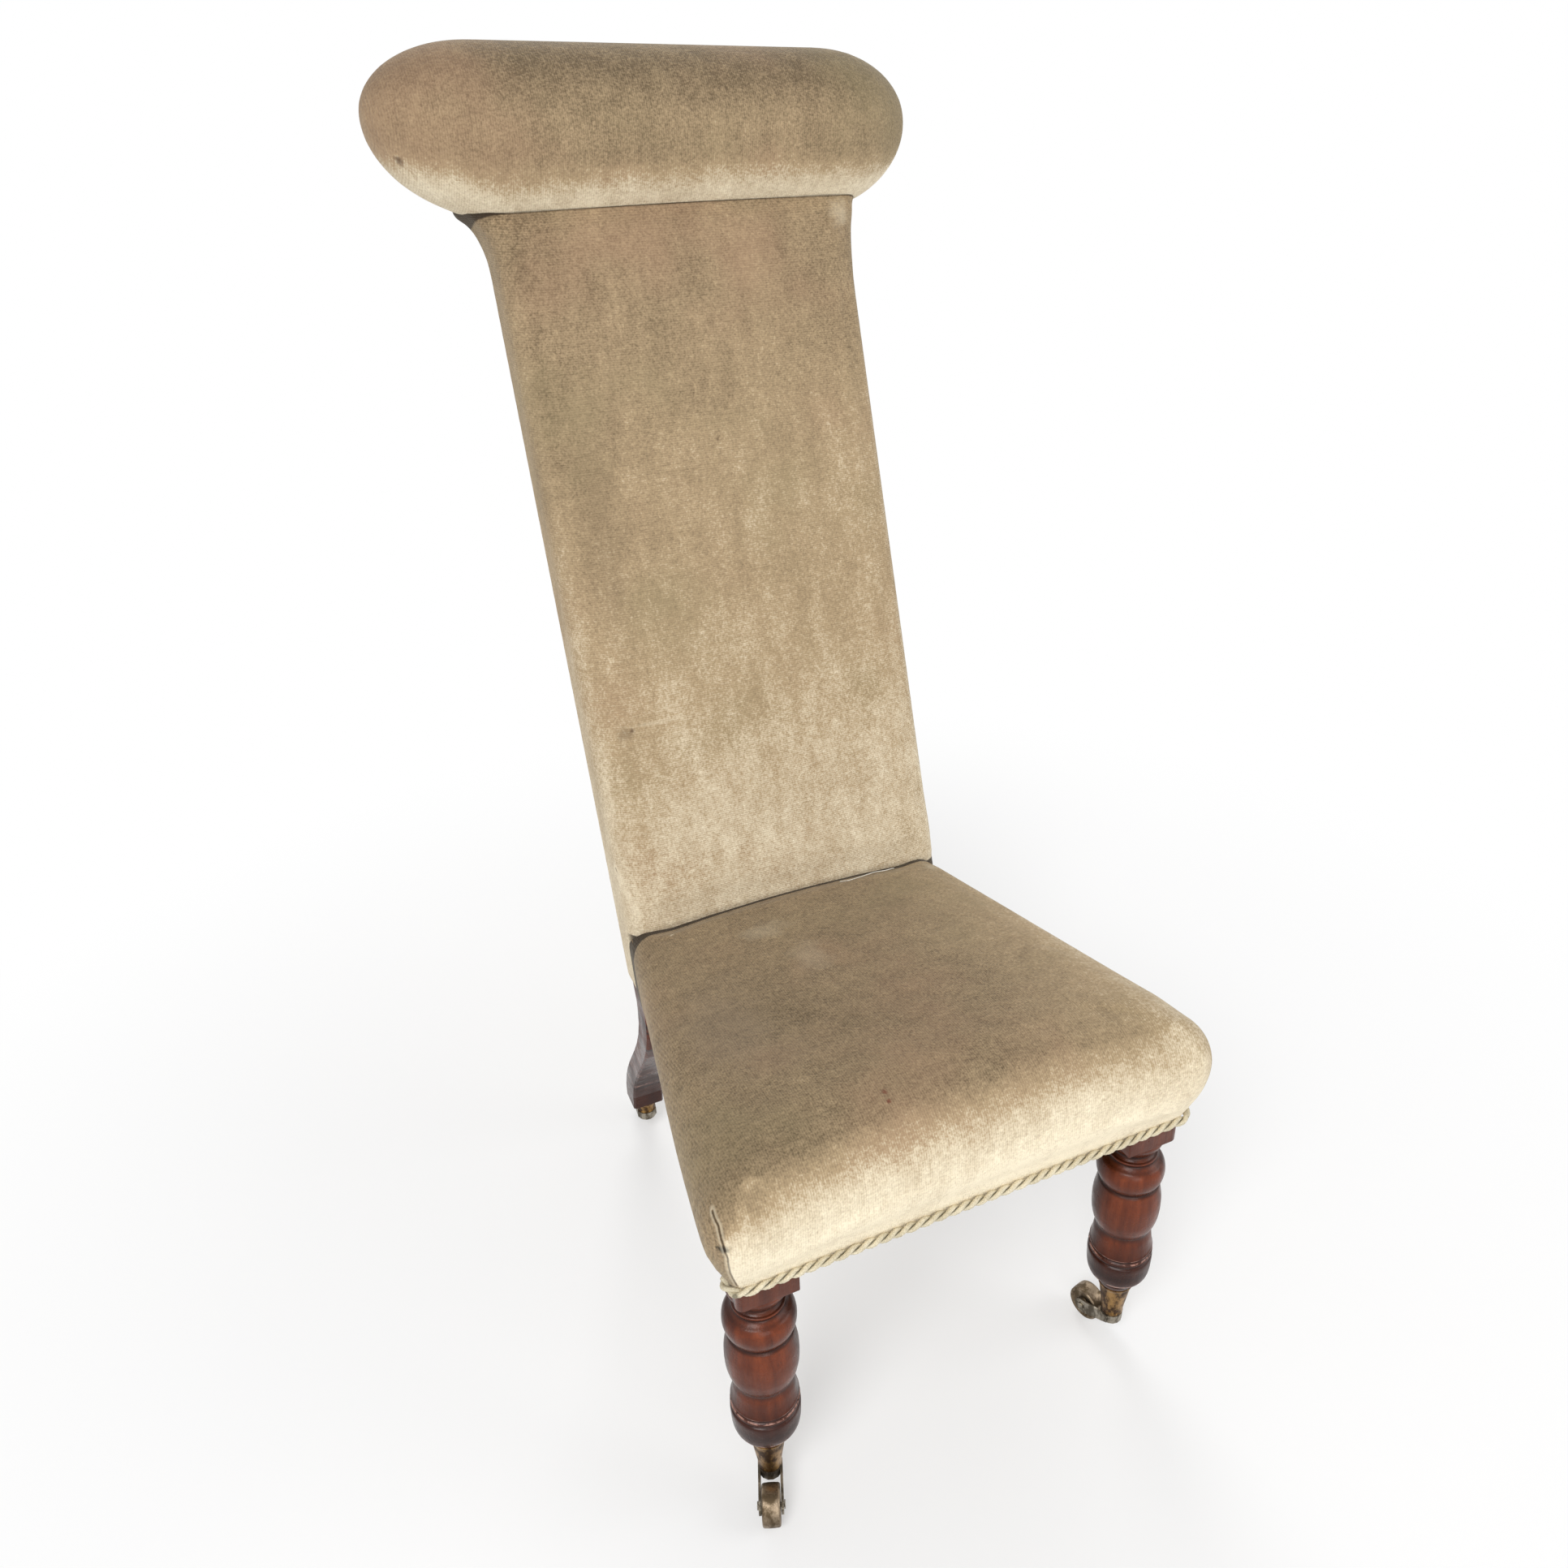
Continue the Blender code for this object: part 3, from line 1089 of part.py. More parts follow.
def socket_mesh(name, height, top_radius):
    """A turned cup: the pintle's hole in its floor, and the leg's end in its top."""
    hole = PINTLE_RADIUS + PINTLE_CLEARANCE
    floor = SOCKET_FLOOR
    round_off = SOCKET_WALL
    profile = [
        (socket_bore(height, top_radius, height), height), (top_radius, height),
        (top_radius, height - SOCKET_WALL),
        ((SOCKET_BOTTOM_RADIUS + top_radius) / 2, height * SOCKET_WAIST_SHARE),
        (SOCKET_BOTTOM_RADIUS, round_off), (SOCKET_BOTTOM_RADIUS - round_off, 0), (hole, 0),
        (hole, floor), (socket_bore(height, top_radius, floor), floor),
    ]
    return turned_mesh(name, [(r, z + SOCKET_BOTTOM) for r, z in profile], SOCKET_SIDES, ring=True)


def cheek_outline():
    """Side view of a cheek, from the crown to the boss round the axle; the trail runs to -Y."""
    points = [(CROWN_RADIUS / 3, CROWN_TOP - FIT_GAP), (CROWN_RADIUS / 3, CROWN_BOTTOM + FIT_GAP)]
    for i in range(BOSS_STEPS + 1):
        angle = BOSS_START - BOSS_ARC * i / BOSS_STEPS
        across, up = CHEEK_BOSS_RADIUS * cos(angle), CHEEK_BOSS_RADIUS * sin(angle)
        points.append((-CASTOR_TRAIL + across, AXLE_HEIGHT + up))
    return points


def castor(corner, x, y, socket):
    """A castor: the socket on the leg, the horn that swivels in it, the axle and the wheel."""
    name = corner + "_castor"
    cup = add_part(name + "_socket", socket, BRASS, smooth=True)
    cup.location = (x, y, 0)
    swivel = new_empty(name + "_swivel", (x, y, 0), ROOT, (0, 0, -CASTOR_TURNS[corner]))
    outside = CHEEK_INSIDE + CHEEK_THICKNESS
    crown = [(0, CROWN_TOP), (CROWN_RADIUS, CROWN_TOP), (CROWN_RADIUS, CROWN_BOTTOM), (0, CROWN_BOTTOM)]
    head = SOCKET_BOTTOM + SOCKET_FLOOR + FIT_GAP
    pintle = [(0, head + PINTLE_HEAD_HEIGHT), (PINTLE_HEAD_RADIUS, head + PINTLE_HEAD_HEIGHT),
              (PINTLE_HEAD_RADIUS, head), (PINTLE_RADIUS, head), (PINTLE_RADIUS, CROWN_TOP)]
    fork = add_part(name + "_fork", turned_mesh("fork", pintle + crown[1:], CROWN_SIDES), BRONZE, swivel)
    for word, side in SIDES:
        ends = sorted((side * CHEEK_INSIDE, side * outside))
        plate = plate_mesh("cheek", cheek_outline(), *ends, upright=True)
        join(fork, add_tool(f"{name}_{word}_cheek", plate, swivel))
    across = Matrix.Translation((0, -CASTOR_TRAIL, AXLE_HEIGHT)) @ Matrix.Rotation(pi / 2, 4, "Y")
    hole = cylinder_mesh("axle_hole", AXLE_RADIUS + FIT_GAP, -outside * 2, outside * 2, AXLE_SIDES, across)
    cut(fork, add_tool(name + "_axle_hole", hole, swivel))
    pin = outside + FIT_GAP
    head = pin + AXLE_HEAD_HEIGHT
    profile = [(0, head), (AXLE_HEAD_RADIUS, head), (AXLE_HEAD_RADIUS, pin), (AXLE_RADIUS, pin)]
    profile += [(r, -z) for r, z in reversed(profile)]
    axle = add_part(name + "_axle", turned_mesh("axle", profile, AXLE_SIDES), BRASS, swivel)
    axle.location = (0, -CASTOR_TRAIL, AXLE_HEIGHT)
    axle.rotation_euler = (0, pi / 2, 0)
    wheel = add_part(name + "_wheel", wheel_mesh(), BRASS, swivel, smooth=True)
    wheel.location = axle.location
    wheel.rotation_euler = axle.rotation_euler


def wheel_mesh():
    """A brass wheel with dished faces, with one of its flats at the floor."""
    half = WHEEL_WIDTH / 2
    rim = WHEEL_RADIUS - WHEEL_EDGE - WHEEL_RIM
    face = [(AXLE_RADIUS + FIT_GAP, half - WHEEL_DISH), (rim, half - WHEEL_DISH), (rim + WHEEL_DISH, half),
            (WHEEL_RADIUS - WHEEL_EDGE, half), (WHEEL_RADIUS, half - WHEEL_EDGE)]
    profile = face + [(r, -z) for r, z in reversed(face)]
    mesh = turned_mesh("wheel", profile, WHEEL_SIDES, ring=True)
    mesh.transform(Matrix.Rotation(pi / WHEEL_SIDES, 4, "Z"))
    return mesh


def castors():
    for word, side in SIDES:
        front = socket_mesh("front_socket", FRONT_SOCKET_HEIGHT, FRONT_SOCKET_TOP_RADIUS)
        castor("front_" + word, side * LEG_X, 0, front)
        rear = socket_mesh("rear_socket", REAR_SOCKET_HEIGHT, REAR_SOCKET_TOP_RADIUS)
        castor("rear_" + word, side * POST_X, FOOT_Y, rear)


def centre_on_floor():
    """Put the middle of the chair's depth over the origin."""
    bpy.context.view_layer.update()
    depsgraph = bpy.context.evaluated_depsgraph_get()
    depths = []
    for part in CHAIR.objects:
        if part.type == "MESH":
            whole = part.evaluated_get(depsgraph)
            depths += [(whole.matrix_world @ vert.co).y for vert in whole.data.vertices]
    ROOT.location.y = -(min(depths) + max(depths)) / 2
    print("depth %.1f mm, moved by %.2f mm" % ((max(depths) - min(depths)) * 1000, ROOT.location.y * 1000))


def build_chair():
    legs = [(side, front_leg(f"front_{word}_leg", side)) for word, side in SIDES]
    posts = [(side, rear_post(f"{word}_rear_post", side)) for word, side in SIDES]
    low, high = FRAME_BOTTOM - CUT_OVERRUN, FRAME_TOP + CUT_OVERRUN
    post_space = rear_space("behind_side_rails", POST_FRONT + FIT_GAP, low, high)
    rail_space = rear_space("behind_braces", REAR_RAIL_THICKNESS / 2 + FIT_GAP, low, high)
    front_rail(legs)
    for (word, side), (_, leg), (_, post) in zip(SIDES, legs, posts):
        side_rail(f"{word}_side_rail", side, leg, post, post_space)
    rear_rail(posts)
    seat_braces(rail_space)
    back_rails(posts)
    seat_webs()
    seat_springs()
    seat_hessian()
    space_of_back, under_cushions = back_space()
    seat_cushion(space_of_back)
    seat_braid()
    back_webs_and_hessian()
    back_cushion(under_cushions)
    roll_cushion()
    castors()
    centre_on_floor()


build_chair()
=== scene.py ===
# %% [markdown]
# A prayer chair in worn velvet and mahogany
#
# Such a chair has a low seat to kneel on and a tall raked back whose padded roll carries the elbows.
# The solid model gives every piece its place and size.
# This lesson dresses that model: cushions that are stuffed by a simulation, turned and polished wood,
# a twisted cord, aged brass castors, and materials made only of nodes.

# %% Tools, and the solid model as a fixed frame
from collections import namedtuple
from math import ceil, cos, hypot, pi, radians, sin, sqrt

import bmesh
import bpy
import numpy as np
from mathutils import Matrix, Vector, noise


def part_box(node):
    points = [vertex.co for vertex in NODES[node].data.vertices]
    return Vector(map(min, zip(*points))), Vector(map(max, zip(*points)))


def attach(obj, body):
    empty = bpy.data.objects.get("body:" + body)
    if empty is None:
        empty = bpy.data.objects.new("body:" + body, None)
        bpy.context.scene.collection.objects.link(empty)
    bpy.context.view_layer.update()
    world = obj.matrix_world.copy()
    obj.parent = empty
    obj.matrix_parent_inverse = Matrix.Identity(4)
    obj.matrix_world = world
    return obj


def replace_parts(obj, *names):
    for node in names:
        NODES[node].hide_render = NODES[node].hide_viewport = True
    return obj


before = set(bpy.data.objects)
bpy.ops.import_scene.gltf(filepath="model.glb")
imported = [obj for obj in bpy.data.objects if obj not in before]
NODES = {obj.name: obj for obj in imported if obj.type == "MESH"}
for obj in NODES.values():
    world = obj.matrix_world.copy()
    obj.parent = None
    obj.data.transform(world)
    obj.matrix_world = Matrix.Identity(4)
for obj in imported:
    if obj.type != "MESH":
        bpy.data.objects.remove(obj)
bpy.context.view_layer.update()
scene = bpy.context.scene

# %% [markdown]
# The camera comes first, because each later choice is judged through it.
# Its place was found by fitting the legs, the seat, the back and the roll to the photograph.
# The lens axis meets the picture slightly right of its middle, and a small shift gives the same framing.

# %% Camera
PICTURE = 1932              # pixels along each side
FOCAL_PIXELS = 1530.13
AXIS_PIXEL = (1024.11, 963.40)
SENSOR = 36.0
CAMERA_PLACE = (-0.3567, -0.8628, 0.9838)
CAMERA_YAW = radians(24.1728)
CAMERA_PITCH = radians(28.9241)
CAMERA_ROLL = radians(1.3868)


def camera_turn():
    """The camera's rotation: its right, its up, and the direction behind it."""
    level = Vector((cos(CAMERA_YAW), -sin(CAMERA_YAW), 0))
    flat = cos(CAMERA_PITCH)
    ahead = Vector((sin(CAMERA_YAW) * flat, cos(CAMERA_YAW) * flat, -sin(CAMERA_PITCH)))
    down = ahead.cross(level)
    right = cos(CAMERA_ROLL) * level + sin(CAMERA_ROLL) * down
    up = sin(CAMERA_ROLL) * level - cos(CAMERA_ROLL) * down
    return Matrix((right, up, -ahead)).transposed().to_4x4()


camera = bpy.data.objects.new("camera", bpy.data.cameras.new("camera"))
scene.collection.objects.link(camera)
camera.matrix_world = Matrix.Translation(CAMERA_PLACE) @ camera_turn()
camera.data.sensor_width = SENSOR
camera.data.lens = SENSOR * FOCAL_PIXELS / PICTURE
camera.data.shift_x = (PICTURE / 2 - AXIS_PIXEL[0]) / PICTURE
camera.data.shift_y = (AXIS_PIXEL[1] - PICTURE / 2) / PICTURE
camera.data.clip_end = 50
scene.camera = camera
print("lens %.2f mm" % camera.data.lens)

# %% [markdown]
# A material is a small graph. A few helpers keep it readable: one adds a node and wires its inputs,
# and the others do sums with numbers, places and colours, or build a pattern that every finish uses.
# All patterns read object coordinates, so they stay on the piece when a castor turns.

# %% Node helpers
WAVE_ROWS = 2 * pi / 20     # a wave texture's scale for one row per metre


def wired(tree, kind, inputs, **settings):
    """Add a node; an input is a plain value, or another node's output to link."""
    made = tree.nodes.new("ShaderNode" + kind)
    for name, value in settings.items():
        setattr(made, name, value)
    for key, value in inputs.items():
        if isinstance(value, bpy.types.NodeSocket):
            tree.links.new(value, made.inputs[key])
        else:
            made.inputs[key].default_value = value
    return made


def maths(tree, operation, a, b=0.0, clamp=False):
    return wired(tree, "Math", {0: a, 1: b}, operation=operation, use_clamp=clamp).outputs[0]


def plus(tree, a, b):
    return maths(tree, "ADD", a, b)


def minus(tree, a, b):
    return maths(tree, "SUBTRACT", a, b)


def times(tree, a, b):
    return maths(tree, "MULTIPLY", a, b)


def size_of(tree, value):
    """A number without its sign."""
    return maths(tree, "ABSOLUTE", value)


def mapped(tree, value, low, high, to_low, to_high, way):
    inputs = {"Value": value, "From Min": low, "From Max": high, "To Min": to_low, "To Max": to_high}
    return wired(tree, "MapRange", inputs, interpolation_type=way).outputs["Result"]


def eased(tree, value, low, high, to_low=0.0, to_high=1.0):
    """A smooth step from to_low to to_high as the value goes from low to high."""
    return mapped(tree, value, low, high, to_low, to_high, "SMOOTHSTEP")


def ramped(tree, value, low, high, to_low=0.0, to_high=1.0):
    """A straight ramp from to_low to to_high, level beyond its ends."""
    return mapped(tree, value, low, high, to_low, to_high, "LINEAR")


def away_from(tree, place, point):
    return wired(tree, "VectorMath", {0: place, 1: point}, operation="SUBTRACT").outputs[0]


def dotted(tree, a, b):
    return wired(tree, "VectorMath", {0: a, 1: b}, operation="DOT_PRODUCT").outputs["Value"]


def scaled(tree, vector, share):
    return wired(tree, "VectorMath", {0: vector, "Scale": share}, operation="SCALE").outputs[0]


def length_of(tree, vector):
    return wired(tree, "VectorMath", {0: vector}, operation="LENGTH").outputs["Value"]


def part_of(tree, vector, axis):
    return wired(tree, "SeparateXYZ", {0: vector}).outputs[axis]


def clouds(tree, place, per_metre, detail=3.0, rough=0.5, stretch=(1, 1, 1)):
    """Soft noise around 0.5, with so many lumps per metre."""
    stretched = wired(tree, "Mapping", {"Vector": place, "Scale": stretch}).outputs[0]
    inputs = {"Vector": stretched, "Scale": per_metre, "Detail": detail, "Roughness": rough}
    return wired(tree, "TexNoise", inputs).outputs["Fac"]


def stripes(tree, place, per_metre, axis, distortion, detail, detail_scale):
    """Bands across an axis, so many per metre, with wavering edges."""
    inputs = {"Vector": place, "Scale": per_metre * WAVE_ROWS, "Distortion": distortion, "Detail": detail,
              "Detail Scale": detail_scale}
    return wired(tree, "TexWave", inputs, wave_type="BANDS", bands_direction=axis).outputs["Fac"]


def mixed(tree, share, a, b):
    """Colour a, going over to colour b as the share goes to 1."""
    a, b = [value if isinstance(value, bpy.types.NodeSocket) else (*value, 1) for value in (a, b)]
    return wired(tree, "Mix", {0: share, 6: a, 7: b}, data_type="RGBA").outputs[2]


def dimmed(colour, share):
    return tuple(value * share for value in colour)


def bumped(tree, height, distance, before=None):
    """A bump of a height pattern, laid over the bump before it."""
    inputs = {"Height": height, "Distance": distance, "Strength": 1.0}
    if before is not None:
        inputs["Normal"] = before
    return wired(tree, "Bump", inputs).outputs["Normal"]


def new_finish(name, values):
    """A material, its node tree, its shader with these values, and the coordinates that patterns read."""
    made = bpy.data.materials.new(name)
    made.use_nodes = True
    tree = made.node_tree
    shader = tree.nodes["Principled BSDF"]
    for key, value in values.items():
        shader.inputs[key].default_value = value
    return made, tree, shader, wired(tree, "TexCoord", {}).outputs


def connect(tree, shader, colour=None, roughness=None, normal=None):
    for key, value in (("Base Color", colour), ("Roughness", roughness), ("Normal", normal)):
        if value is not None:
            tree.links.new(value, shader.inputs[key])


def from_screen(red, green, blue):
    """A colour picked on a screen, 0 to 255, as the linear values that Blender mixes."""
    def linear(value):
        value /= 255
        return value / 12.92 if value <= 0.04045 else ((value + 0.055) / 1.055) ** 2.4
    return linear(red), linear(green), linear(blue)


print("node helpers ready")

# %% [markdown]
# The studio is a white floor, a white surround and four large soft lamps.
# The surround is white only where the camera or a reflection sees it, so it adds little light of its own.
# The floor is painted, and keeps the chair's shadow. Far from the chair it turns to the same plain white as
# the surround, so the picture has no horizon.

# %% Studio
FLOOR_SIZE = 30.0
SURROUND_LIGHT = 0.42
SHADOW_REACH = (0.32, 1.15)  # how far from the chair the floor starts and ends turning white
SHADOW_LIFT = 0.35          # how white the floor is under the chair, so that its shadow stays light
LAMPS = (
    # name, place, aim, size, watts
    ("key", (-1.9, -2.1, 2.9), (0.0, -0.05, 0.5), 1.8, 72),
    ("fill", (2.4, -1.6, 1.6), (0.0, 0.0, 0.5), 2.0, 24),
    ("low", (-0.6, -2.9, 0.9), (0.0, -0.2, 0.3), 1.4, 13),
    ("back", (0.6, 2.4, 2.4), (0.0, 0.1, 0.6), 1.8, 30),
)


def studio_lamp(name, place, aim, size, watts):
    data = bpy.data.lights.new(name, "AREA")
    data.energy = watts
    data.shape = "DISK"
    data.size = size
    lamp = bpy.data.objects.new(name, data)
    scene.collection.objects.link(lamp)
    lamp.location = place
    lamp.rotation_euler = (Vector(aim) - Vector(place)).to_track_quat("-Z", "Y").to_euler()


def seen_directly(tree):
    """1 for what the camera, a reflection or a glass sees, and 0 for light that bounces."""
    path = wired(tree, "LightPath", {}).outputs
    seen = maths(tree, "MAXIMUM", path["Is Camera Ray"], path["Is Glossy Ray"])
    return maths(tree, "MAXIMUM", seen, path["Is Transmission Ray"])


def white_surround():
    """A world that is white to look at and gives less light."""
    world = bpy.data.worlds.new("surround")
    world.use_nodes = True
    scene.world = world
    tree = world.node_tree
    sky = tree.nodes["Background"]
    sky.inputs["Color"].default_value = (1, 1, 1, 1)
    strength = eased(tree, seen_directly(tree), 0, 1, SURROUND_LIGHT, 1.0)
    tree.links.new(strength, sky.inputs["Strength"])


def white_floor():
    """A large floor that keeps the chair's shadow and is plain white further off."""
    finish, tree, shader, outputs = new_finish("floor_white", {
        "Roughness": 0.9, "Base Color": (0.94, 0.94, 0.94, 1), "Specular IOR Level": 0.1})
    away = length_of(tree, outputs["Object"])
    share = times(tree, eased(tree, away, *SHADOW_REACH, SHADOW_LIFT, 1.0), seen_directly(tree))
    white = wired(tree, "Emission", {"Color": (1, 1, 1, 1), "Strength": 1.0}).outputs[0]
    both = wired(tree, "MixShader", {0: share, 1: shader.outputs[0], 2: white}).outputs[0]
    tree.links.new(both, tree.nodes["Material Output"].inputs["Surface"])
    sheet = bmesh.new()
    bmesh.ops.create_grid(sheet, x_segments=1, y_segments=1, size=FLOOR_SIZE / 2)
    mesh = bpy.data.meshes.new("floor")
    sheet.to_mesh(mesh)
    sheet.free()
    mesh.materials.append(finish)
    floor = bpy.data.objects.new("floor", mesh)
    scene.collection.objects.link(floor)


for lamp in LAMPS:
    studio_lamp(*lamp)
white_surround()
white_floor()
scene.view_settings.view_transform = "Standard"
print(len(LAMPS), "lamps")

# %% [markdown]
# The main lines of the chair, taken from the solids, so that each soft piece starts where its solid is.
# Depths count from the line through the front legs. The back has a frame of its own:
# X across, Y up the rake from the knee of the posts, Z forward, square to the rake.

# %% Main lines
LEG_X = 0.165
BLOCK_HALF = 0.024
FRAME_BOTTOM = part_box("front_rail")[0].z
FRAME_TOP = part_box("front_rail")[1].z
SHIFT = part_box("front_rail")[0].y + BLOCK_HALF
FRONT_HALF_WIDTH = 0.189
FRAME_FRONT = -BLOCK_HALF
BLOCK_CORNER = 0.006
KNEE_Y, KNEE_HEIGHT = 0.327, 0.245
BACK_RAKE = radians(17.7)
POST_OUTSIDE, POST_FRONT = 0.150, 0.0138
ROLL_ALONG, ROLL_FORWARD = 0.7441, 0.0086
ROLL_Y = KNEE_Y + ROLL_ALONG * sin(BACK_RAKE) - ROLL_FORWARD * cos(BACK_RAKE)
ROLL_Z = KNEE_HEIGHT + ROLL_ALONG * cos(BACK_RAKE) + ROLL_FORWARD * sin(BACK_RAKE)
SIDE_TAPER = (FRONT_HALF_WIDTH - POST_OUTSIDE) / (KNEE_Y - FRAME_FRONT)
STILL = Matrix.Identity(4)
TO_CHAIR = Matrix.Translation((0, SHIFT, 0))
TO_BACK = Matrix.Translation((0, KNEE_Y + SHIFT, KNEE_HEIGHT)) @ Matrix.Rotation(pi / 2 - BACK_RAKE, 4, "X")
KNEE = Vector((0, KNEE_Y + SHIFT, KNEE_HEIGHT))
UP_RAKE = Vector((0, sin(BACK_RAKE), cos(BACK_RAKE)))
FORWARD = Vector((0, -cos(BACK_RAKE), sin(BACK_RAKE)))
CORNERS = [(depth, side) for depth in ("front", "rear") for side in ("left", "right")]


def smoothstep(share):
    share = np.clip(share, 0, 1)
    return share * share * (3 - 2 * share)


def side_x(y):
    """Half the frame's width at a depth."""
    return max(FRONT_HALF_WIDTH - SIDE_TAPER * (y - FRAME_FRONT), POST_OUTSIDE)


def new_piece(name, mesh, finish, body="chair", smooth=True):
    """Put a mesh in the scene as a piece that rides on a body."""
    mesh.materials.clear()
    mesh.materials.append(finish)
    if smooth:
        mesh.shade_smooth()
    piece = bpy.data.objects.new(name, mesh)
    scene.collection.objects.link(piece)
    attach(piece, body)
    return piece


def mesh_of(shape, name, matrix=STILL):
    """A bmesh as a mesh in the chair's frame, its faces outwards."""
    bmesh.ops.recalc_face_normals(shape, faces=shape.faces)
    mesh = bpy.data.meshes.new(name)
    shape.to_mesh(mesh)
    shape.free()
    mesh.transform(matrix)
    return mesh


def lofted(rows, closed):
    """A skin through rows of points; closed rows run round, and a row of one point is a tip."""
    shape = bmesh.new()
    grid = [[shape.verts.new(point) for point in row] for row in rows]
    for row, after in zip(grid, grid[1:]):
        longer = max(len(row), len(after))
        for i in range(longer if closed else longer - 1):
            j = (i + 1) % longer
            if len(row) == 1:
                shape.faces.new((row[0], after[j], after[i]))
            elif len(after) == 1:
                shape.faces.new((row[i], row[j], after[0]))
            else:
                shape.faces.new((row[i], row[j], after[j], after[i]))
    return shape


def capped(shape):
    bmesh.ops.holes_fill(shape, edges=[edge for edge in shape.edges if edge.is_boundary])
    return shape


def coordinates(mesh):
    flat = np.empty(len(mesh.vertices) * 3)
    mesh.vertices.foreach_get("co", flat)
    return flat.reshape(-1, 3)


def set_coordinates(mesh, places):
    mesh.vertices.foreach_set("co", np.ascontiguousarray(places).ravel())
    mesh.update()


def in_back_frame(places):
    """How far up the rake and how far forward each place lies."""
    away = places - np.array(KNEE)
    return away @ np.array(UP_RAKE), away @ np.array(FORWARD)


print("front legs' line at y = %.4f m" % SHIFT)

# %% [markdown]
# Velvet is a woven ground with a short pile that leans one way, its nap.
# Where the pile leans towards the eye it looks dark, and where it leans away, or is seen along the
# surface, it looks pale. So the finish has a sheen for grazing light, a grain of tufts in rows,
# and clouds of brushed and rubbed nap. One number, the tone, says how pale a place is: 0 is dark brown,
# 1 is cream. Each cushion gives its own tone from place and facing; on the seat and the roll, the tone
# from facing is painted sheen: the nap's paleness seen along the surface, painted into the colour.
#
# Marks are spots (an egg round a point) and lines (a distance from a straight stretch),
# so that stains stay sharp without any picture file, and so do the painted shade in seams and creases
# and the painted highlight beside a seam.

# %% Velvet
VELVET_DARK = from_screen(104, 88, 67)
VELVET_MIDDLE = from_screen(178, 155, 122)
VELVET_PALE = from_screen(246, 234, 207)
VELVET_OLIVE = from_screen(146, 134, 100)
VELVET_ROSE = from_screen(168, 134, 108)
STAIN = from_screen(74, 50, 36)
# painted shade: the dark in creases and seams
CREASE_SHADE = from_screen(44, 34, 26)
RED_STAIN = from_screen(112, 56, 42)
TUFT_ROWS = 560             # rows of tufts per metre
SPOT_CORE = 0.2             # share of a spot's radius that it fills fully


PLEAT_OUTWARD = (-0.7071, -0.7071, 0.0)     # the way the left front corner faces


def spot(tree, place, centre, radius, reach):
    """1 inside an egg round a point, fading to 0 at its edge, whose outline wavers."""
    away = away_from(tree, place, centre)
    away = wired(tree, "VectorMath", {0: away, 1: reach}, operation="DIVIDE").outputs[0]
    waver = clouds(tree, place, 1.6 / radius, 2.0)
    size = times(tree, length_of(tree, away), eased(tree, waver, 0.2, 0.8, 0.7, 1.35))
    return eased(tree, size, radius * SPOT_CORE, radius, 1.0, 0.0)


def beside(tree, place, start, end):
    """Distance of a place from a straight stretch."""
    run = Vector(end) - Vector(start)
    away = away_from(tree, place, start)
    share = maths(tree, "DIVIDE", dotted(tree, away, run), run.length_squared, clamp=True)
    return length_of(tree, away_from(tree, away, scaled(tree, run, share)))


def beside_all(tree, place, points, through=(0, 0, 0)):
    """Distance from a line through several points; along the direction through, it counts for a tenth."""
    along = Vector(through)
    depth = times(tree, dotted(tree, place, along), 0.9)
    place = away_from(tree, place, scaled(tree, along, depth))
    points = [Vector(point) - along * along.dot(Vector(point)) * 0.9 for point in points]
    nearest = None
    for start, end in zip(points, points[1:]):
        distance = beside(tree, place, start, end)
        nearest = distance if nearest is None else maths(tree, "MINIMUM", nearest, distance)
    return nearest


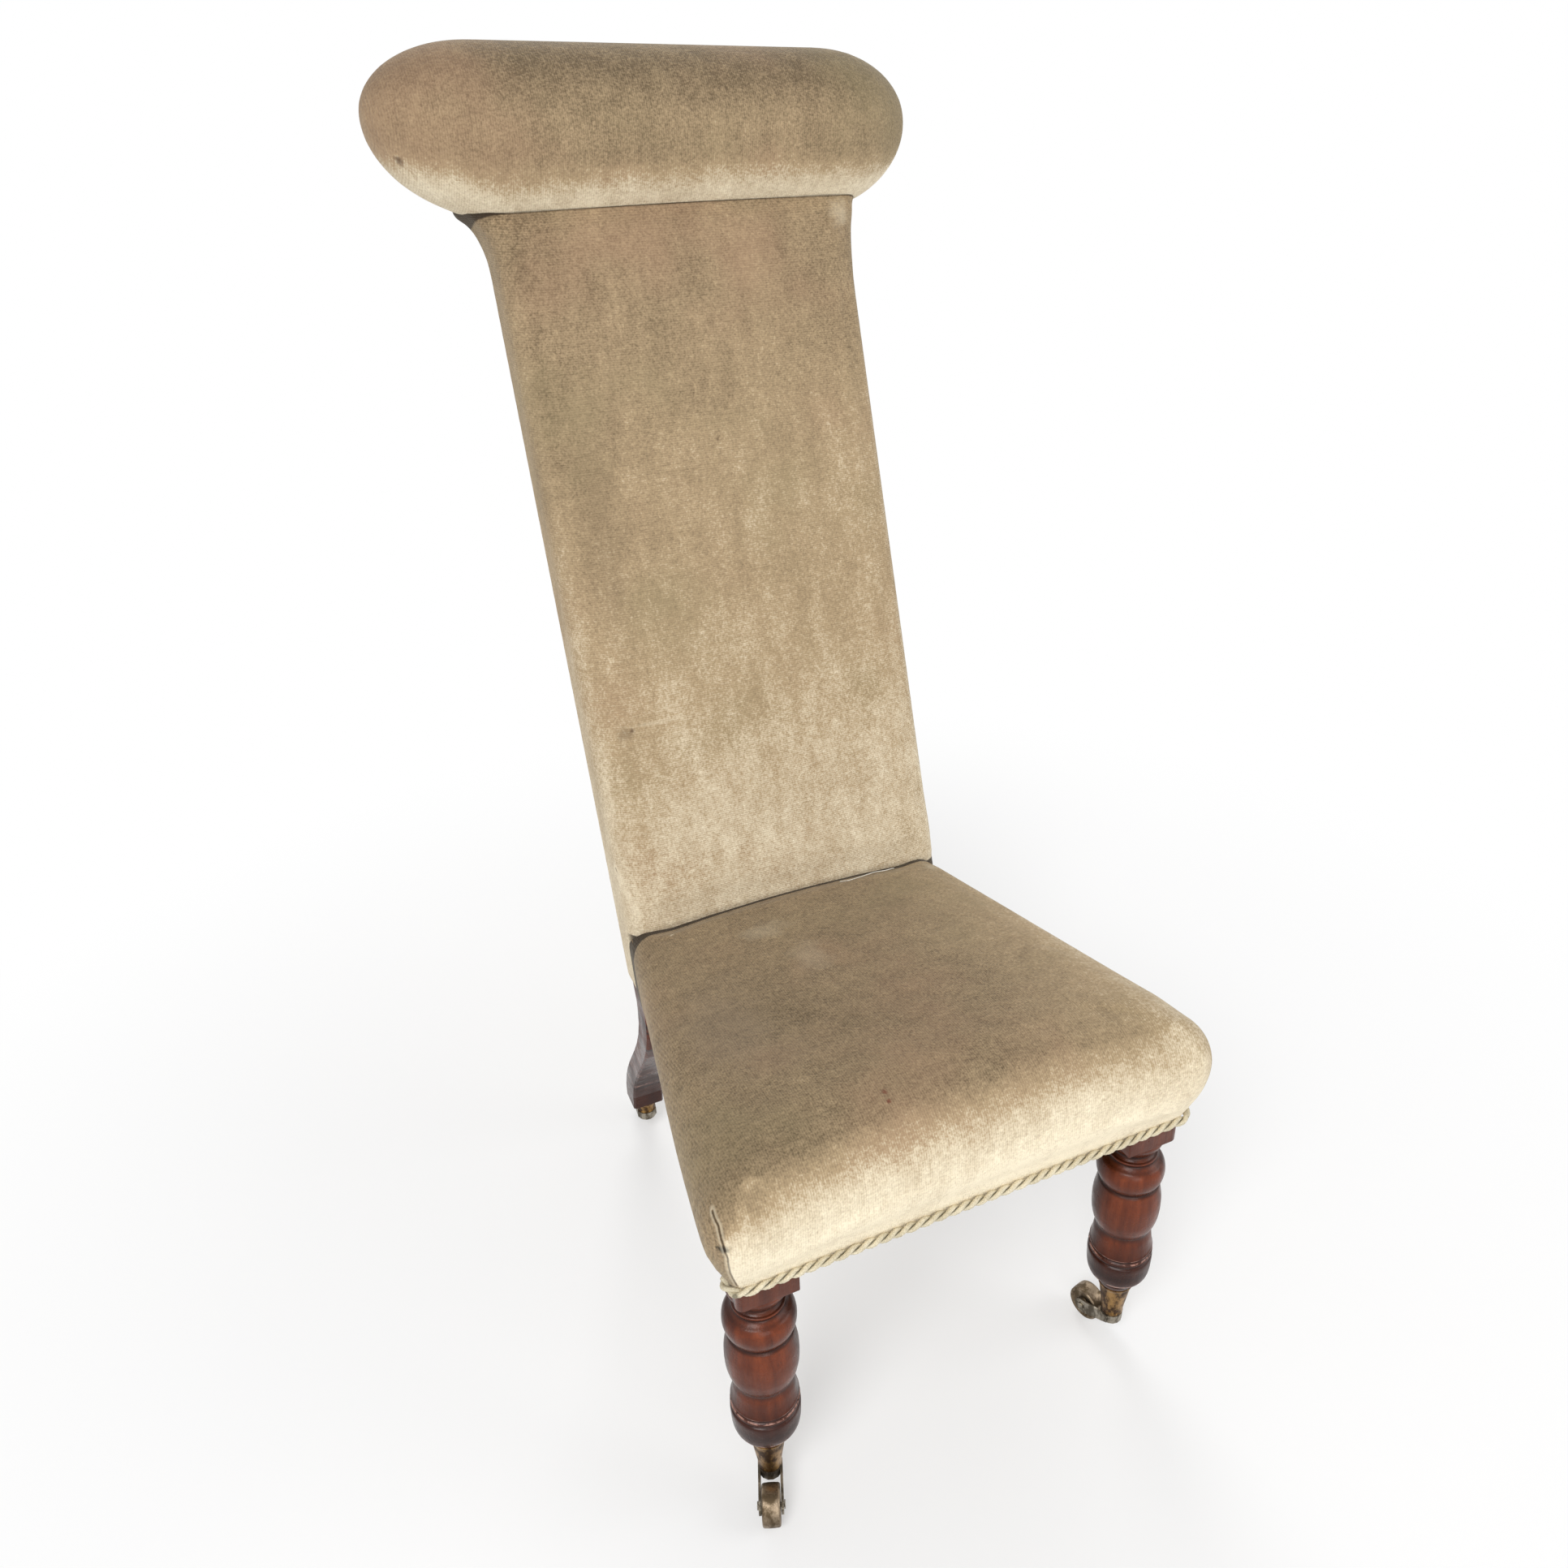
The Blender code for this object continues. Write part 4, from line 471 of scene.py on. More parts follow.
def velvet(name, shading, ribs="Z", spots=(), seams=(), crease_shade=None, through=(0, 0, 0)):
    """Velvet toned by shading(tree, place, facing).

    Spots are (centre, radius, reach, colour, share), seams are (points, half width), and
    crease_shade(tree, place) gives 1 where the cloth dives between two cushions, for the painted shade there.
    """
    finish, tree, shader, outputs = new_finish(name, {
        "Roughness": 0.9, "Sheen Weight": 0.18, "Sheen Roughness": 0.5, "Sheen Tint": (1.0, 0.94, 0.82, 1),
        "Specular IOR Level": 0.12})
    place, facing = outputs["Object"], outputs["Normal"]
    tone = shading(tree, place, facing)
    patches = clouds(tree, place, 10.0, 4.0, 0.55)
    brushed = clouds(tree, place, 62.0, 3.0, 0.6, (1, 1, 0.35))
    mottle = clouds(tree, place, 190.0, 3.0, 0.65)
    grain = clouds(tree, place, 520.0, 2.0, 0.7)
    rows = stripes(tree, place, TUFT_ROWS, ribs, 2.0, 2.0, 0.6)
    grain_change = ramped(tree, tone, 0.15, 0.95, 0.25, 0.14)
    for pattern, low, high, change in (
            (patches, 0.25, 0.75, 0.07), (brushed, 0.25, 0.75, 0.09), (mottle, 0.25, 0.75, 0.09),
            (rows, 0.0, 1.0, 0.045)):
        tone = plus(tree, tone, ramped(tree, pattern, low, high, -change, change))
    tone = plus(tree, tone, times(tree, ramped(tree, grain, 0.25, 0.75, -1.0, 1.0), grain_change))
    colour = mixed(tree, ramped(tree, tone, -0.06, 0.5), VELVET_DARK, VELVET_MIDDLE)
    colour = mixed(tree, ramped(tree, tone, 0.5, 1.02), colour, VELVET_PALE)
    hue = clouds(tree, place, 7.0, 3.0, 0.5)
    dull = eased(tree, tone, 0.75, 0.45)
    olive = times(tree, eased(tree, hue, 0.50, 0.75, 0.0, 0.35), dull)
    rose = times(tree, eased(tree, hue, 0.50, 0.28, 0.0, 0.35), dull)
    colour = mixed(tree, olive, colour, VELVET_OLIVE)
    colour = mixed(tree, rose, colour, VELVET_ROSE)
    for centre, radius, reach, mark, share in spots:
        colour = mixed(tree, times(tree, spot(tree, place, centre, radius, reach), share), colour, mark)
    # a seam: a painted highlight on its ridge, and painted shade in its line
    for points, half_width in seams:
        away = beside_all(tree, place, points, through)
        ridge_highlight = times(tree, eased(tree, away, half_width, half_width * 2.2),
                      eased(tree, away, half_width * 6, half_width * 2.6))
        colour = mixed(tree, times(tree, ridge_highlight, 0.30), colour, VELVET_PALE)
        colour = mixed(tree, eased(tree, away, half_width * 1.7, half_width * 0.5, 0.0, 0.70), colour, CREASE_SHADE)
    # painted shade where the cloth dives between two cushions
    if crease_shade:
        colour = mixed(tree, crease_shade(tree, place), colour, CREASE_SHADE)
    pile = plus(tree, grain, times(tree, rows, 0.35))
    normal = bumped(tree, mottle, 0.0006, bumped(tree, pile, 0.0005))
    normal = bumped(tree, brushed, 0.0009, normal)
    connect(tree, shader, colour, None, normal)
    return finish


PLEAT_AHEAD, PLEAT_SOFT = 0.1245, 0.0016    # on the pleat, how much further forward than aside a place lies


def seat_shading(tree, place, facing):
    """Painted sheen by facing: brown on the top and the sides, and cream on the front, up to the pleat at
    each corner; the front is painted paler towards its foot.
    """
    across, height = part_of(tree, place, "X"), part_of(tree, place, "Z")
    side = size_of(tree, part_of(tree, facing, "X"))
    front = times(tree, part_of(tree, facing, "Y"), -1.0)
    # painted sheen: the front turns to cream by the way it faces; below its edge the change is sharp at each
    # pleat
    soft = ramped(tree, minus(tree, front, times(tree, side, 0.8)), 0.40, 1.02)
    ahead = minus(tree, times(tree, part_of(tree, place, "Y"), -1.0), size_of(tree, across))
    sharp = times(tree, eased(tree, ahead, PLEAT_AHEAD - PLEAT_SOFT, PLEAT_AHEAD + PLEAT_SOFT),
                  ramped(tree, front, 0.10, 0.65))
    low = eased(tree, height, 0.350, 0.334)
    cream = plus(tree, times(tree, sharp, low), times(tree, soft, minus(tree, 1.0, low)))
    right = eased(tree, across, 0.02, 0.15, 0.0, 0.16)
    right = plus(tree, right, eased(tree, across, 0.125, 0.185, 0.0, 0.26))
    top = plus(tree, right, 0.20)
    # painted light: the front is paler towards its foot, where the lamps light it less
    pale = eased(tree, height, 0.345, 0.295, 0.75, 0.96)
    return plus(tree, top, times(tree, cream, minus(tree, pale, top)))


def back_shading(tree, place, facing):
    """Olive brown under the roll, and paler and pinker downwards."""
    height, across = part_of(tree, place, "Z"), part_of(tree, place, "X")
    tone = eased(tree, height, 0.92, 0.62, 0.23, 0.45)
    tone = plus(tree, tone, eased(tree, height, 0.62, 0.36, 0.0, 0.26))
    left = times(tree, eased(tree, across, -0.06, -0.14), eased(tree, height, 0.45, 0.75, 0.03, 0.09))
    tone = minus(tree, tone, left)
    streaks = clouds(tree, place, 46.0, 3.0, 0.6, (1, 0.4, 0.10))
    tone = plus(tree, tone, ramped(tree, streaks, 0.25, 0.75, -0.06, 0.06))
    worn = eased(tree, size_of(tree, part_of(tree, facing, "X")), 0.35, 0.75, 0.0, 0.10)
    return plus(tree, tone, worn)


def roll_shading(tree, place, facing):
    """Painted sheen by facing: dark on the top, and pale on the underside."""
    up = part_of(tree, facing, "Z")
    return plus(tree, eased(tree, up, -0.80, -0.15, 0.88, 0.24), eased(tree, up, 0.1, 0.8, 0.0, -0.18))


SEAT_REAR_CREASE, SEAT_REAR_DROP = 0.3332, 0.35     # height of the crease, and its fall to the sides
ROLL_CREASE = 0.6862                                # how far up the rake the roll meets the back


# painted shade in the crease between the seat and the back
def seat_crease_shade(tree, place):
    forward = dotted(tree, away_from(tree, place, KNEE), FORWARD)
    return eased(tree, forward, 0.0385, 0.0368, 0.0, 0.92)


def back_crease_shade(tree, place):
    """Painted shade: dark low on the face, where the seat presses, and under the roll."""
    across = part_of(tree, place, "X")
    away = away_from(tree, place, KNEE)
    fall = times(tree, times(tree, across, across), SEAT_REAR_DROP)
    above = plus(tree, part_of(tree, place, "Z"), fall)
    low = eased(tree, above, SEAT_REAR_CREASE + 0.0010, SEAT_REAR_CREASE - 0.0006, 0.0, 0.92)
    low = times(tree, low, eased(tree, dotted(tree, away, FORWARD), 0.012, 0.022))
    high = eased(tree, dotted(tree, away, UP_RAKE), ROLL_CREASE - 0.0012, ROLL_CREASE + 0.0004, 0.0, 0.90)
    return maths(tree, "MAXIMUM", low, high)


# painted shade in the crease where the roll meets the back
def roll_crease_shade(tree, place):
    along = dotted(tree, away_from(tree, place, KNEE), UP_RAKE)
    return eased(tree, along, ROLL_CREASE + 0.0010, ROLL_CREASE - 0.0006, 0.0, 0.90)


SEAT_SPOTS = (
    ((-0.0842, -0.2375, 0.3689), 0.0028, (1, 1, 1), RED_STAIN, 0.75),
    ((-0.0806, -0.2505, 0.3704), 0.0030, (1, 1.3, 1), RED_STAIN, 0.70),
    ((-0.0592, -0.2785, 0.3735), 0.0030, (1, 1, 1), RED_STAIN, 0.70),
    ((-0.0602, -0.2867, 0.3719), 0.0026, (1, 1, 1), RED_STAIN, 0.75),
    ((-0.1982, -0.3208, 0.3306), 0.0046, (1.6, 1.6, 1), (0.01, 0.008, 0.006), 0.95),
    ((-0.1210, 0.0139, 0.3362), 0.0030, (1, 1, 1), VELVET_PALE, 0.90),
    ((-0.0514, -0.0292, 0.3452), 0.0200, (1.4, 1, 1), VELVET_PALE, 0.13),
    ((-0.0313, -0.0892, 0.3525), 0.0260, (0.8, 1.4, 1), VELVET_PALE, 0.10),
    ((-0.1300, -0.1500, 0.3530), 0.0700, (0.8, 1.5, 1), from_screen(138, 122, 106), 0.30),
    ((0.1400, 0.0139, 0.3351), 0.0110, (1, 1, 1), VELVET_PALE, 0.25),
)
SEAT_SEAMS = (
    (((-0.1980, -0.3059, 0.3515), (-0.1985, -0.3155, 0.3463), (-0.1981, -0.3212, 0.3346),
      (-0.1967, -0.3232, 0.3231), (-0.1914, -0.3153, 0.2799)), 0.0006),
)
BACK_SPOTS = (
    ((0.0018, 0.1588, 0.7279), 0.0038, (1, 1, 1), STAIN, 0.75),
    ((-0.1240, 0.0898, 0.5028), 0.0110, (1, 1, 0.8), VELVET_DARK, 0.40),
    ((-0.1180, 0.0898, 0.5050), 0.0036, (1, 1, 1), STAIN, 0.75),
    ((-0.0930, 0.0900, 0.5085), 0.0150, (2.0, 1, 0.16), VELVET_PALE, 0.22),
    ((0.1474, 0.2206, 0.8918), 0.0160, (1, 1, 1), VELVET_PALE, 0.26),
    ((-0.1130, 0.1400, 0.6600), 0.0450, (0.5, 1, 3.0), VELVET_DARK, 0.22),
)
BACK_SEAMS = (
    (((-0.1500, 0.0698, 0.3843), (-0.1450, 0.0560, 0.3640), (-0.1395, 0.0450, 0.3460)), 0.0010),
)
ROLL_SPOTS = (
    ((-0.2143, 0.2278, 0.9465), 0.0062, (1, 1, 1), STAIN, 0.80),
    ((-0.2115, 0.2285, 0.9381), 0.0046, (1, 1, 1), STAIN, 0.70),
)
VELVET_SEAT = velvet("velvet_seat", seat_shading, "X", SEAT_SPOTS, SEAT_SEAMS, seat_crease_shade, PLEAT_OUTWARD)
VELVET_BACK = velvet("velvet_back", back_shading, "Z", BACK_SPOTS, BACK_SEAMS, back_crease_shade)
VELVET_ROLL = velvet("velvet_roll", roll_shading, "X", ROLL_SPOTS, (), roll_crease_shade)
VELVET_REAR = velvet("velvet_outside_back", back_shading)
print("velvet: seat, back, roll and outside back")

# %% [markdown]
# The legs and posts are French-polished mahogany: a red-brown wood whose grain runs along the leg,
# under a thin coat of shellac worn on the proud rings. Its hollows are painted dark, old shellac and painted
# shade;
# its undersides and the sides turned from the front are painted shade, and it darkens towards the foot.

# %% Mahogany and the frame's beech
GRAIN_SQUEEZE = 0.07                # how many times shorter a mark is across the grain
LIT_SIDE = (-0.35, -0.94, 0.0)   # the side painted as lit; sides turned away from it get painted shade
FOOT_DARK = (0.150, 0.112)          # the colour darkens from one height down to the other
WORN_WOOD = from_screen(206, 158, 142)
WORN_RINGS = ((0.0880, 0.0014), (0.1166, 0.0007), (0.1204, 0.0006))     # height, reach
# painted shade in the turned grooves, with old polish there
DARK_HOLLOWS = (
    # height, reach, share of dark: painted shade, with old polish in the groove
    (0.2312, 0.0062, 0.95), (0.2235, 0.0026, 0.88), (0.1945, 0.0036, 0.88), (0.1425, 0.0052, 0.62),
    (0.1183, 0.0014, 0.90), (0.1125, 0.0014, 0.90), (0.0985, 0.0080, 0.60), (0.0820, 0.0026, 0.85),
)
BEECH = (from_screen(150, 112, 74), from_screen(196, 160, 116), 90.0)   # dark, light, marks per metre


def timber(name, dark, light, per_metre, along, roughness, coat, worn=(), hollows=()):
    """Wood with its grain along an axis, with rings that are rubbed pale and hollows that are painted dark.

    The hollows are old polish and painted shade; undersides and the sides turned from the front are painted
    shade, and the colour darkens towards the foot.
    """
    finish, tree, shader, outputs = new_finish(name, {
        "Roughness": roughness, "Coat Weight": coat, "Coat Roughness": 0.16, "Specular IOR Level": 0.22})
    place, facing = outputs["Object"], outputs["Normal"]
    squeeze = tuple(GRAIN_SQUEEZE if axis == along else 1.0 for axis in "XYZ")
    grain = clouds(tree, place, per_metre, 5.0, 0.6, squeeze)
    pores = clouds(tree, place, per_metre * 9, 2.0, 0.6, squeeze)
    smears = clouds(tree, place, 46.0, 4.0, 0.6)
    colour = mixed(tree, ramped(tree, grain, 0.25, 0.75), dark, light)
    colour = mixed(tree, eased(tree, pores, 0.58, 0.72, 0.0, 0.35), colour, dimmed(dark, 0.4))
    colour = mixed(tree, ramped(tree, smears, 0.45, 0.75, 0.0, 0.35), colour, dimmed(dark, 0.5))
    level = part_of(tree, place, "Z")
    # painted shade on undersides and on the sides turned from the front; the colour also darkens towards the
    # foot
    if hollows:
        under = ramped(tree, part_of(tree, facing, "Z"), 0.35, -0.65, 0.0, 0.80)
        turned_away_shade = ramped(tree, dotted(tree, facing, LIT_SIDE), 0.85, 0.20, 0.0, 0.80)
        low = ramped(tree, level, *FOOT_DARK, 0.0, 0.84)
        darkest = maths(tree, "MAXIMUM", maths(tree, "MAXIMUM", under, turned_away_shade), low)
        colour = mixed(tree, darkest, colour, dimmed(dark, 0.22))
    # painted shade in the grooves, with old polish there
    for height, reach, share in hollows:
        near = eased(tree, size_of(tree, minus(tree, level, height)), reach, 0.0, 0.0, share)
        colour = mixed(tree, near, colour, dimmed(dark, 0.15))
    for height, reach in worn:
        near = eased(tree, size_of(tree, minus(tree, level, height)), reach, reach * 0.3)
        patchy = eased(tree, clouds(tree, place, 150.0, 3.0, 0.6), 0.44, 0.58, 0.0, 0.55)
        colour = mixed(tree, times(tree, near, patchy), colour, WORN_WOOD)
    rough = eased(tree, smears, 0.3, 0.7, roughness * 0.7, roughness * 1.5)
    connect(tree, shader, colour, rough, bumped(tree, smears, 0.0008, bumped(tree, pores, 0.00015)))
    return finish


MAHOGANY = timber("mahogany", from_screen(76, 30, 14), from_screen(134, 64, 32), 110.0, "Z", 0.30, 0.08,
                  WORN_RINGS, DARK_HOLLOWS)
FRAME_WOOD_X = timber("frame_wood_across", *BEECH, "X", 0.7, 0.0)
FRAME_WOOD_Y = timber("frame_wood_along", *BEECH, "Y", 0.7, 0.0)
print("timber: mahogany, and beech along two axes")

# %% [markdown]
# The castors are brass that has gone brown. Metal needs three things to look old:
# a base colour with clouds of tarnish, a roughness that varies with them, and a skin of small pits.

# %% Aged metals


def aged_metal(name, bright, tarnish, roughness, pits):
    """Metal whose tarnish lies in clouds and is rougher than the bright ground; pits is their depth."""
    finish, tree, shader, outputs = new_finish(name, {"Roughness": roughness, "Metallic": 1.0})
    place = outputs["Object"]
    stain = clouds(tree, place, 120.0, 4.0, 0.7, (1, 1, 0.5))
    fine = clouds(tree, place, 1400.0, 2.0, 0.5)
    colour = mixed(tree, eased(tree, stain, 0.38, 0.60), bright, tarnish)
    rough = eased(tree, stain, 0.3, 0.7, roughness * 0.8, roughness * 1.6)
    connect(tree, shader, colour, rough, bumped(tree, fine, pits * 0.3, bumped(tree, stain, pits)))
    return finish


BRASS = aged_metal("brass", from_screen(158, 122, 72), from_screen(66, 46, 28), 0.36, 0.0003)
WHEEL_BRASS = aged_metal("wheel_brass", from_screen(142, 126, 106), from_screen(92, 78, 60), 0.42, 0.0005)
BRONZE = aged_metal("bronze", from_screen(158, 150, 136), from_screen(88, 80, 68), 0.36, 0.0003)
SPRING_STEEL = aged_metal("spring_steel", from_screen(150, 108, 80), from_screen(84, 58, 44), 0.45, 0.0002)
print("metals: brass, wheel brass, bronze and coppered steel")

# %% [markdown]
# Under the velvet are jute webbing and hessian, which show from below, and a cotton rope trims the front.
# Webbing and hessian are plain weaves: two sets of threads, each a wave across the other.

# %% Jute and cord
HESSIAN_LOOK = (from_screen(96, 74, 44), from_screen(186, 156, 108), 500)   # dark, light, threads per metre
WEBBING_LOOK = (from_screen(120, 98, 66), from_screen(206, 184, 142), 420)
# painted shade between the strands, near the rope's line
ROPE_GAP_SHADE = from_screen(88, 82, 62)


def woven(name, dark, light, threads, axis):
    """A plain weave, with threads across X and across another axis."""
    finish, tree, shader, outputs = new_finish(name, {"Roughness": 0.9, "Specular IOR Level": 0.15})
    place = outputs["Object"]
    weave = times(tree, *[stripes(tree, place, threads, across, 1.2, 1.0, 2.0) for across in ("X", axis)])
    fuzz = clouds(tree, place, 700.0, 2.0, 0.6)
    tone = plus(tree, eased(tree, weave, 0.0, 0.9, 0.1, 0.8), eased(tree, fuzz, 0.2, 0.8, -0.15, 0.25))
    connect(tree, shader, mixed(tree, tone, dark, light), None, bumped(tree, weave, 0.0006))
    return finish


def rope_thread(name, dark, light, line=None):
    """Spun cotton with clouds of dust; near the rope's line along X, between the strands, painted shade makes
    it grey-brown.
    """
    finish, tree, shader, outputs = new_finish(name, {"Roughness": 0.85, "Specular IOR Level": 0.15})
    place = outputs["Object"]
    fibre = clouds(tree, place, 1500.0, 3.0, 0.7)
    dust = clouds(tree, place, 60.0, 3.0, 0.6)
    tone = plus(tree, eased(tree, fibre, 0.3, 0.7, 0.35, 1.0), eased(tree, dust, 0.3, 0.7, -0.25, 0.05))
    colour = mixed(tree, tone, dark, light)
    # painted shade between the two strands, near the rope's line
    if line:
        away = away_from(tree, place, line)
        away = wired(tree, "VectorMath", {0: away, 1: (0, 1, 1)}, operation="MULTIPLY").outputs[0]
        colour = mixed(tree, eased(tree, length_of(tree, away), 0.0022, 0.0012, 0.0, 0.70), colour, ROPE_GAP_SHADE)
    connect(tree, shader, colour, None, bumped(tree, fibre, 0.0003))
    return finish


HESSIAN, HESSIAN_BACK = woven("hessian", *HESSIAN_LOOK, "Y"), woven("hessian_back", *HESSIAN_LOOK, "Z")
WEBBING, WEBBING_BACK = woven("webbing", *WEBBING_LOOK, "Y"), woven("webbing_back", *WEBBING_LOOK, "Z")
COVER_STAND, ROPE_LINE_RADIUS = 0.0021, 0.0032
ROPE_STAND = COVER_STAND + ROPE_LINE_RADIUS + 0.0006
ROPE_FRONT = (0, FRAME_FRONT - ROPE_STAND + SHIFT, FRAME_BOTTOM + ROPE_LINE_RADIUS)
ROPE = rope_thread("rope_thread", from_screen(160, 148, 118), from_screen(240, 230, 204), ROPE_FRONT)
THREAD = rope_thread("loose_thread", from_screen(214, 208, 194), from_screen(250, 248, 240))
print("jute: hessian and webbing; cotton for the rope")

# %% [markdown]
# A cushion is a form that stuffing pushes out against its cover. The form is a loft, remeshed to even
# squares, and then a short cloth simulation blows it up a few millimetres with a pressure inside.
# The move is capped, and only outward moves count, so the cushion keeps the size and the corners of its
# solid. Where the cover is nailed to wood, it is held.

# %% Stuffing by simulation
SIM_FRAMES = 18
SIM_PRESSURE = 4.0
SIM_ROOM = 0.0006           # a form starts this much smaller, to swell into its size
SIM_CAP = 0.0026
CLOTH = {
    "quality": 6, "mass": 0.25, "tension_stiffness": 12, "compression_stiffness": 12, "shear_stiffness": 6,
    "bending_stiffness": 1.5, "use_pressure": True, "uniform_pressure_force": SIM_PRESSURE,
    "vertex_group_mass": "held",
}


def evaluated_mesh(piece):
    """A mesh of the piece with its modifiers applied; the modifiers go."""
    bpy.context.view_layer.update()
    whole = piece.evaluated_get(bpy.context.evaluated_depsgraph_get())
    mesh = bpy.data.meshes.new_from_object(whole)
    piece.modifiers.clear()
    old = piece.data
    piece.data = mesh
    bpy.data.meshes.remove(old)
    return mesh


def even_squares(piece, size):
    """Remesh a closed form, so that the cloth has even faces."""
    remesh = piece.modifiers.new("even", "REMESH")
    remesh.mode = "VOXEL"
    remesh.voxel_size = size
    evaluated_mesh(piece)


def swollen(piece, held):
    """Blow the piece up as cloth; held(places) is 1 where it is fast to wood, and 0 where it is free."""
    rest = coordinates(piece.data)
    outward = np.empty(len(rest) * 3, dtype=np.float32)
    piece.data.vertex_normals.foreach_get("vector", outward)
    outward = outward.reshape(-1, 3).astype(float)
    group = piece.vertex_groups.new(name="held")
    for index, share in enumerate(held(rest)):
        group.add([index], float(share), "REPLACE")
    cloth = piece.modifiers.new("stuffing", "CLOTH")
    for key, value in CLOTH.items():
        setattr(cloth.settings, key, value)
    cloth.settings.effector_weights.gravity = 0
    cloth.collision_settings.use_collision = False
    cloth.point_cache.frame_start = 1
    cloth.point_cache.frame_end = SIM_FRAMES
    for step in range(1, SIM_FRAMES + 1):
        scene.frame_set(step)
    whole = piece.evaluated_get(bpy.context.evaluated_depsgraph_get())
    move = coordinates(whole.data) - rest
    rise = (move * outward).sum(axis=1, keepdims=True)
    move -= np.minimum(rise, 0) * outward
    length = np.linalg.norm(move, axis=1, keepdims=True)
    move *= SIM_CAP * np.tanh(length / SIM_CAP) / np.maximum(length, 1e-9)
    piece.modifiers.clear()
    scene.frame_set(1)
    set_coordinates(piece.data, rest + move)
    moved = 1000 * np.linalg.norm(move, axis=1)
    print(piece.name, "swelled by up to %.1f mm, middling %.1f mm" % (moved.max(), np.median(moved)))


def trimmed(mesh, point, normal):
    """Cut the mesh by a plane, and drop what lies on the normal's side."""
    shape = bmesh.new()
    shape.from_mesh(mesh)
    parts = shape.verts[:] + shape.edges[:] + shape.faces[:]
    bmesh.ops.bisect_plane(shape, geom=parts, plane_co=point, plane_no=normal, clear_outer=True)
    shape.to_mesh(mesh)
    shape.free()


def stuffed(name, form, matrix, finish, voxel, held, shaped, cuts=()):
    """A closed form as a stuffed cushion; shaped(places) presses in its creases, and cuts trim it."""
    piece = bpy.data.objects.new(name, mesh_of(form, name, matrix))
    scene.collection.objects.link(piece)
    even_squares(piece, voxel)
    swollen(piece, held)
    finer = piece.modifiers.new("finer", "SUBSURF")
    finer.levels = finer.render_levels = 1
    mesh = evaluated_mesh(piece)
    piece.vertex_groups.clear()
    bpy.data.objects.remove(piece)
    mesh.name = name
    set_coordinates(mesh, shaped(coordinates(mesh)))
    for point, normal in cuts:
        trimmed(mesh, point, normal)
    return new_piece(name, mesh, finish)


print("simulation:", "%d frames a cushion" % SIM_FRAMES)

# %% [markdown]
# The seat is sprung and stuffed over the rails. Its walls swell most at the two front corners, its
# edge is a soft roll, and its top is crowned in front and falls to the crease at the back.
# The loft goes round the foot of the cushion, and each place on it carries its own swelling and edge.
# Where the seat meets the back, both covers dive into the crease, so each is pressed in there.

# %% Seat cushion
SEAT_TOP_FRONT, SEAT_CROWN, SEAT_TOP_REAR = 0.377, 0.375, 0.339
SEAT_CROWN_Y, SEAT_CREASE_Y = 0.020, 0.320
SEAT_FALL = 0.90
SEAT_SIDE_DROP = 0.008
SEAT_FRONT_BULGE, SEAT_CORNER_BULGE, SEAT_BULGE_LENGTH = 0.0100, 0.0178, 0.400
SEAT_EDGE_FRONT, SEAT_EDGE_REAR, SEAT_CORNER_LEAST = 0.046, 0.020, 0.008
SEAT_EDGE_CORNER = 0.040
SEAT_OVERHANG_Y = 0.372
SEAT_HEM_DROP = 0.012       # the form runs on below its hem, and is trimmed there
CREASE_FRONT = 0.0365       # where the back's face stands, in the back's frame
CREASE_DIP, CREASE_REACH = 0.0042, 0.020
CREASE_SIDE = 0.110         # past this far out, the crease is shallow
SEAT_WALL_TOP = 0.94        # the wall's own rows end here, below its rounded edge
SEAT_EVEN_SWELL, SEAT_FULL_AT = 0.4, 0.85    # share of the swelling that grows evenly; the rest is full here
Station = namedtuple("Station", "x y out_x out_y swell edge corner")


def frame_outline(outset, steps):
    """Plan of the frame's right front corner, so far outside it, and the angle at each of its points."""
    corner = BLOCK_CORNER + outset
    middle_y = FRAME_FRONT + BLOCK_CORNER
    middle_x = side_x(middle_y) - BLOCK_CORNER * hypot(1, SIDE_TAPER)
    angles = [i / steps * pi / 2 for i in range(steps + 1)]
    right = [(middle_x + corner * cos(angle), middle_y - corner * sin(angle)) for angle in angles]
    return right, angles


